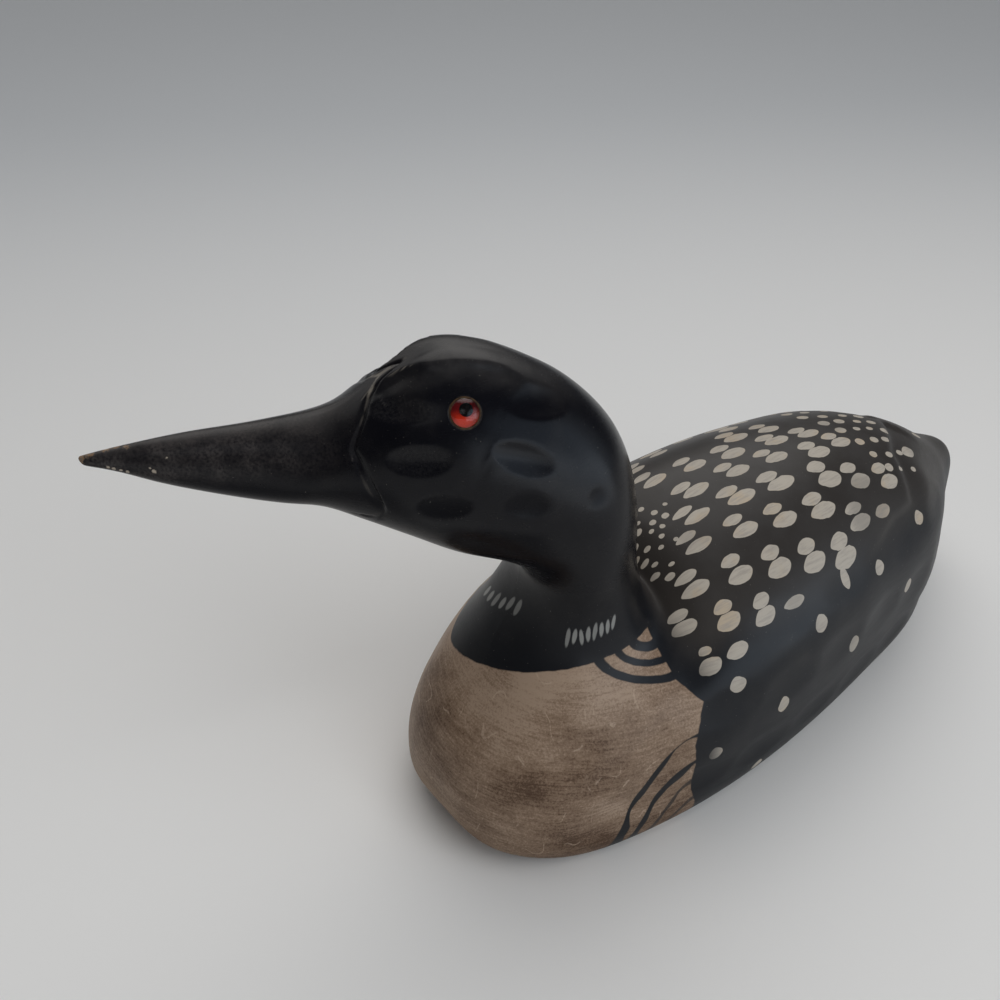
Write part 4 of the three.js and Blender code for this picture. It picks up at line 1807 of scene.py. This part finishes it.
        # The edge share lightens sharp outward bends in the paint: wear and a painted highlight.
        self.keep_share(mesh, "edge", self.edge_share(mesh))

    def keep_share(self, mesh: bpy.types.Mesh, name: str, values: np.ndarray) -> None:
        """Keeps one number for each vertex, for the paint to read."""
        kept = mesh.attributes.new(name, "FLOAT", "POINT")
        kept.data.foreach_set("value", values.astype(np.float32))

    def edge_share(self, mesh: bpy.types.Mesh) -> np.ndarray:
        """How sharply the skin bends outwards at each vertex, from 0 to 1.

        Args:
            mesh: the carved mesh.

        Returns:
            One number for each vertex.
        """
        points, normals = skin_points(mesh)
        count, least = len(points), 1e-6
        ends = np.empty(len(mesh.edges) * 2, dtype=np.int64)
        mesh.edges.foreach_get("vertices", ends)
        ends = ends.reshape(-1, 2)
        bend, links = np.zeros(count), np.zeros(count)
        for a, b in ((ends[:, 0], ends[:, 1]), (ends[:, 1], ends[:, 0])):
            step = points[b] - points[a]
            slope = -(step * normals[a]).sum(axis=1) / np.maximum((step * step).sum(axis=1), least)
            bend += np.bincount(a, slope, count)
            links += np.bincount(a, minlength=count)
        return np.clip(bend / np.maximum(links, 1.0) / self.full_bend, 0.0, 1.0)


@dataclass
class GlassEye:
    """One glass eye: a clear dome, with the iris and the pupil painted on its back.

    The paint reaches a little into the glass, by the overlap, so that no air lies between them.
    The iris is a cup whose wall is a little wider than the glass and ends just below its rim.
    """

    side: Side
    radius: float = 4.0
    dome: float = 2.1
    glass_bevel: float = 0.15
    dome_steps: int = 12
    iris_depth: float = 0.9
    overlap: float = 0.06
    cup_depth: float = 3.0
    cup_wall: float = 0.03
    cup_bevel: float = 0.3
    cup_rim: Span = (-0.1, -0.04)
    pupil_radius: float = 1.5
    pupil_aft: float = 0.35
    pupil_up: float = 0.7
    pupil_span: Span = (-0.01, 0.03)
    bead: float = 0.38
    bead_share: float = 0.8
    bead_drop: float = 0.12
    bead_steps: int = 10
    steps: int = 48
    merge: float = 0.0001
    black: PlainPaint = PlainPaint("black_pupil", (0.003, 0.003, 0.003), (0.005, 0.004, 0.004),
                                   specular=0.0)
    brown: PlainPaint = PlainPaint("brown_putty", (0.030, 0.016, 0.009), (0.070, 0.040, 0.018),
                                   specular=0.2)

    def build(self) -> list:
        """Makes the glass, the iris, the pupil and the ring of putty round them.

        Returns:
            The four pieces.
        """
        seat = EyeSeat.of(self.side)
        word = self.side.word
        dome, cup = self.turned(self.glass_profile()), self.turned(self.iris_profile())
        disc, ring = self.turned(self.pupil_profile()), self.turned(self.putty_profile(), True)
        disc.transform(Matrix.Translation(metres((self.side.value * self.pupil_aft,
                                                  self.pupil_up, 0.0))))
        red = IrisPaint(seat.middle.z / MM)
        glass = self.finished(f"{word}_eye_glass", dome, EyeGlass(), seat)
        iris = self.finished(f"{word}_eye_iris", cup, red, seat)
        pupil = self.finished(f"{word}_eye_pupil", disc, self.black, seat)
        putty = self.finished(f"{word}_eye_putty", ring, self.brown, seat)
        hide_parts(f"{word}_eye")
        return [glass, iris, pupil, putty]

    def glass_profile(self) -> list:
        """The glass from the middle of its back to the top of its dome.

        Returns:
            Pairs of distance from the axis and height along it.
        """
        ball = (self.radius ** 2 + self.dome ** 2) / (2 * self.dome)
        reach = math.asin(self.radius / ball)
        arc = [(ball * math.sin(a), ball * math.cos(a) - ball + self.dome)
               for a in np.linspace(reach, 0, self.dome_steps + 1)]
        back, bevel = -self.iris_depth, self.glass_bevel
        return [(0.0, back), (self.radius - bevel, back), (self.radius, back + bevel), *arc]

    def iris_profile(self) -> list:
        """The painted back: a shallow cup under the glass and round its shank.

        Returns:
            Pairs of distance from the axis and height along it.
        """
        back, wall, bevel = -self.cup_depth, self.radius + self.cup_wall, self.cup_bevel
        inner, floor = self.radius - self.overlap, self.overlap - self.iris_depth
        outer_rim, inner_rim = self.cup_rim
        return [(0.0, back), (wall - bevel, back), (wall, back + bevel), (wall, outer_rim),
                (inner, inner_rim), (inner, floor), (0.0, floor)]

    def pupil_profile(self) -> list:
        """A thin black disc on the iris."""
        low, high = (self.overlap - self.iris_depth + height for height in self.pupil_span)
        return [(0.0, low), (self.pupil_radius, low), (self.pupil_radius, high), (0.0, high)]

    def putty_profile(self) -> list:
        """A thin round bead between the glass and the wood."""
        high = self.bead * self.bead_share
        return [(self.radius + self.bead * math.cos(a), high * math.sin(a) - self.bead_drop)
                for a in np.linspace(0, 2 * math.pi, self.bead_steps, endpoint=False)]

    def turned(self, profile: list, closed: bool = False) -> bmesh.types.BMesh:
        """Spins a profile, given in millimetres from the axis and along it, once round.

        Args:
            profile: pairs of distance from the axis and height along it.
            closed: whether its end joins its start.

        Returns:
            The round shape.
        """
        shape = bmesh.new()
        verts = [shape.verts.new((r * MM, 0.0, h * MM)) for r, h in profile]
        for a, b in zip(verts, verts[1:]):
            shape.edges.new((a, b))
        if closed:
            shape.edges.new((verts[-1], verts[0]))
        bmesh.ops.spin(shape, geom=list(shape.verts) + list(shape.edges), cent=(0, 0, 0),
                       axis=(0, 0, 1), angle=2 * math.pi, steps=self.steps, use_merge=True)
        bmesh.ops.remove_doubles(shape, verts=shape.verts, dist=self.merge * MM)
        bmesh.ops.recalc_face_normals(shape, faces=shape.faces)
        return shape

    def finished(self, name: str, shape: bmesh.types.BMesh,
                 finish: Union[EyeGlass, IrisPaint, PlainPaint], seat: EyeSeat) -> bpy.types.Object:
        """Stands a shape in the seat and makes it a piece.

        Args:
            name: the piece's name.
            shape: its shape, which is freed.
            finish: what it is made of.
            seat: where it stands.

        Returns:
            The piece.
        """
        shape.transform(seat.stood())
        mesh = bpy.data.meshes.new(name)
        shape.to_mesh(mesh)
        shape.free()
        for polygon in mesh.polygons:
            polygon.use_smooth = True
        piece = bpy.data.objects.new(name, mesh)
        bpy.context.scene.collection.objects.link(piece)
        mesh.materials.append(finish.build())
        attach(piece, ROOT)
        return piece


@dataclass(frozen=True)
class SkyPatch:
    """A soft patch of light in the surround, placed by degrees as seen from the bird.

    It is full within one angle from its middle and gone beyond another.
    """

    azimuth: float
    elevation: float
    full: float
    none: float
    colour: Colour

    def share(self, bench: NodeBench, axes: Axes) -> Signal:
        """1 in the patch's middle, falling smoothly to 0 at its border.

        Args:
            bench: where the nodes are added.
            axes: the direction's three numbers.

        Returns:
            A share from 0 to 1.
        """
        turn, rise = math.radians(self.azimuth), math.radians(self.elevation)
        middle = (math.sin(turn) * math.cos(rise), -math.cos(turn) * math.cos(rise), math.sin(rise))
        toward = sum(axis * part for axis, part in zip(axes, middle))
        return toward.rise(math.cos(math.radians(self.none)), math.cos(math.radians(self.full)))


@dataclass(frozen=True)
class Lamp:
    """A soft oblong light that faces a target, in metres and watts.

    One that isn't mirrored only lights things, as a lamp behind a polariser does. One that isn't
    lighting is only seen in what shines.
    """

    name: str
    place: Place
    target: Place
    size: Span
    power: float
    tint: Colour
    mirrored: bool = True
    lighting: bool = True

    def build(self) -> bpy.types.Object:
        """Makes the lamp.

        Returns:
            The lamp's object.
        """
        data = bpy.data.lights.new(self.name, "AREA")
        data.shape = "RECTANGLE"
        data.size, data.size_y = self.size
        data.energy = self.power
        data.color = self.tint
        lamp = bpy.data.objects.new(self.name, data)
        lamp.location = self.place
        toward = Vector(self.target) - Vector(self.place)
        lamp.rotation_euler = toward.to_track_quat("-Z", "Y").to_euler()
        lamp.visible_glossy = self.mirrored
        lamp.visible_diffuse = self.lighting
        bpy.context.scene.collection.objects.link(lamp)
        return lamp


@dataclass
class Studio:
    """The pale floor with painted shade far off, the soft lights and the camera of the photograph's
    view.
    """

    floor_size: float = 12.0
    floor_colour: Colour = (0.795, 0.79, 0.78)
    far_floor_colour: Colour = (0.60, 0.615, 0.63)
    floor_roughness: float = 0.75
    floor_fade: Ramp = Ramp(0.10, 1.1)
    floor_slant: float = 0.15
    surround: Colour = (0.06, 0.062, 0.065)
    patches: Tuple[SkyPatch, ...] = (
        SkyPatch(-132.0, 46.0, 14.0, 38.0, (1.28, 1.25, 1.21)),
        SkyPatch(-85.0, 22.0, 8.0, 28.0, (0.45, 0.44, 0.43)),
        SkyPatch(112.0, 10.0, 15.0, 40.0, (0.64, 0.78, 0.95)),
        SkyPatch(142.0, 12.0, 6.0, 26.0, (0.40, 0.45, 0.50)),
        SkyPatch(45.0, 46.0, 6.0, 22.0, (0.42, 0.42, 0.43)),
    )
    lamps: Tuple[Lamp, ...] = (
        Lamp("right_card", (0.46, 0.06, 0.125), (0.0, 0.0, 0.125), (0.75, 0.24), 0.70,
             (0.84, 0.92, 1.0), lighting=False),
        Lamp("right_fill", (0.80, -0.10, 1.10), (0.0, 0.0, 0.0), (0.9, 0.9), 6.4,
             (1.0, 0.99, 0.97), mirrored=False),
        Lamp("top_fill", (-0.20, 0.10, 1.40), (0.0, 0.0, 0.0), (1.2, 1.2), 4.1,
             (1.0, 1.0, 1.0), mirrored=False),
    )
    camera_place: Place = (183.8, -251.3, 293.4)
    camera_turn: Place = (55.51, 0.0, 51.65)
    camera_near: float = 0.01
    focal_pixels: float = 970.0
    frame_pixels: float = 1000.0
    sensor: float = 36.0

    def build(self) -> None:
        """Makes the floor, the lights and the camera."""
        self.floor()
        self.world()
        for lamp in self.lamps:
            lamp.build()
        self.camera()

    def floor(self) -> None:
        """A large sheet of pale paper, with painted shade that makes it cooler and dimmer away from
        the camera's place.
        """
        shape = bmesh.new()
        bmesh.ops.create_grid(shape, x_segments=1, y_segments=1, size=self.floor_size / 2)
        mesh = bpy.data.meshes.new("floor")
        shape.to_mesh(mesh)
        shape.free()
        sheet = bpy.data.objects.new("floor", mesh)
        bpy.context.scene.collection.objects.link(sheet)
        bench = MaterialBench("pale_floor")
        x, y, _ = bench.axes(bench.object_place())
        turn, slant = math.radians(self.camera_turn[2]), self.floor_slant
        beyond = (y * (math.cos(turn) - slant * math.sin(turn))
                  - x * (math.sin(turn) + slant * math.cos(turn)))
        # Painted shade: the floor's colour darkens away from the camera, as the light falls off.
        fade = self.floor_fade.of(beyond)
        colour = bench.blend(fade, self.floor_colour, self.far_floor_colour)
        mesh.materials.append(bench.surface({"Base Color": colour,
                                             "Roughness": self.floor_roughness}))

    def world(self) -> None:
        """The surround: dim, with soft bright patches that light the bird and show in its paint."""
        world = bpy.data.worlds.new("soft_surround")
        bpy.context.scene.world = world
        world.use_nodes = True
        bench = NodeBench(world.node_tree)
        axes = bench.axes(bench.node("ShaderNodeTexCoord", {}, {}, output="Generated"))
        colour: Union[Signal, Colour] = self.surround
        for patch in self.patches:
            colour = bench.blend(patch.share(bench, axes), colour, patch.colour, "ADD")
        bench.feed(world.node_tree.nodes["Background"].inputs["Color"], colour)

    def camera(self) -> None:
        """The camera, with its lens worked out from the focal length in pixels."""
        data = bpy.data.cameras.new("camera")
        data.sensor_width = self.sensor
        data.lens = self.sensor * self.focal_pixels / self.frame_pixels
        data.clip_start = self.camera_near
        eye = bpy.data.objects.new("camera", data)
        eye.location = metres(self.camera_place)
        eye.rotation_euler = [math.radians(value) for value in self.camera_turn]
        bpy.context.scene.collection.objects.link(eye)
        bpy.context.scene.camera = eye
        bpy.context.scene.view_settings.view_transform = "Standard"


def report(pieces: Iterable[bpy.types.Object]) -> None:
    """Logs each piece with its number of faces."""
    for piece in pieces:
        LOG.info("%s: %d faces", piece.name, len(piece.data.polygons))


def main() -> None:
    """Builds the bird's looks and the studio round it."""
    logging.basicConfig(level=logging.INFO, format="%(name)s: %(message)s")
    report([LoonSkin().build()])
    for side in Side:
        report(GlassEye(side).build())
    Studio().build()


if __name__ == "__main__":
    main()
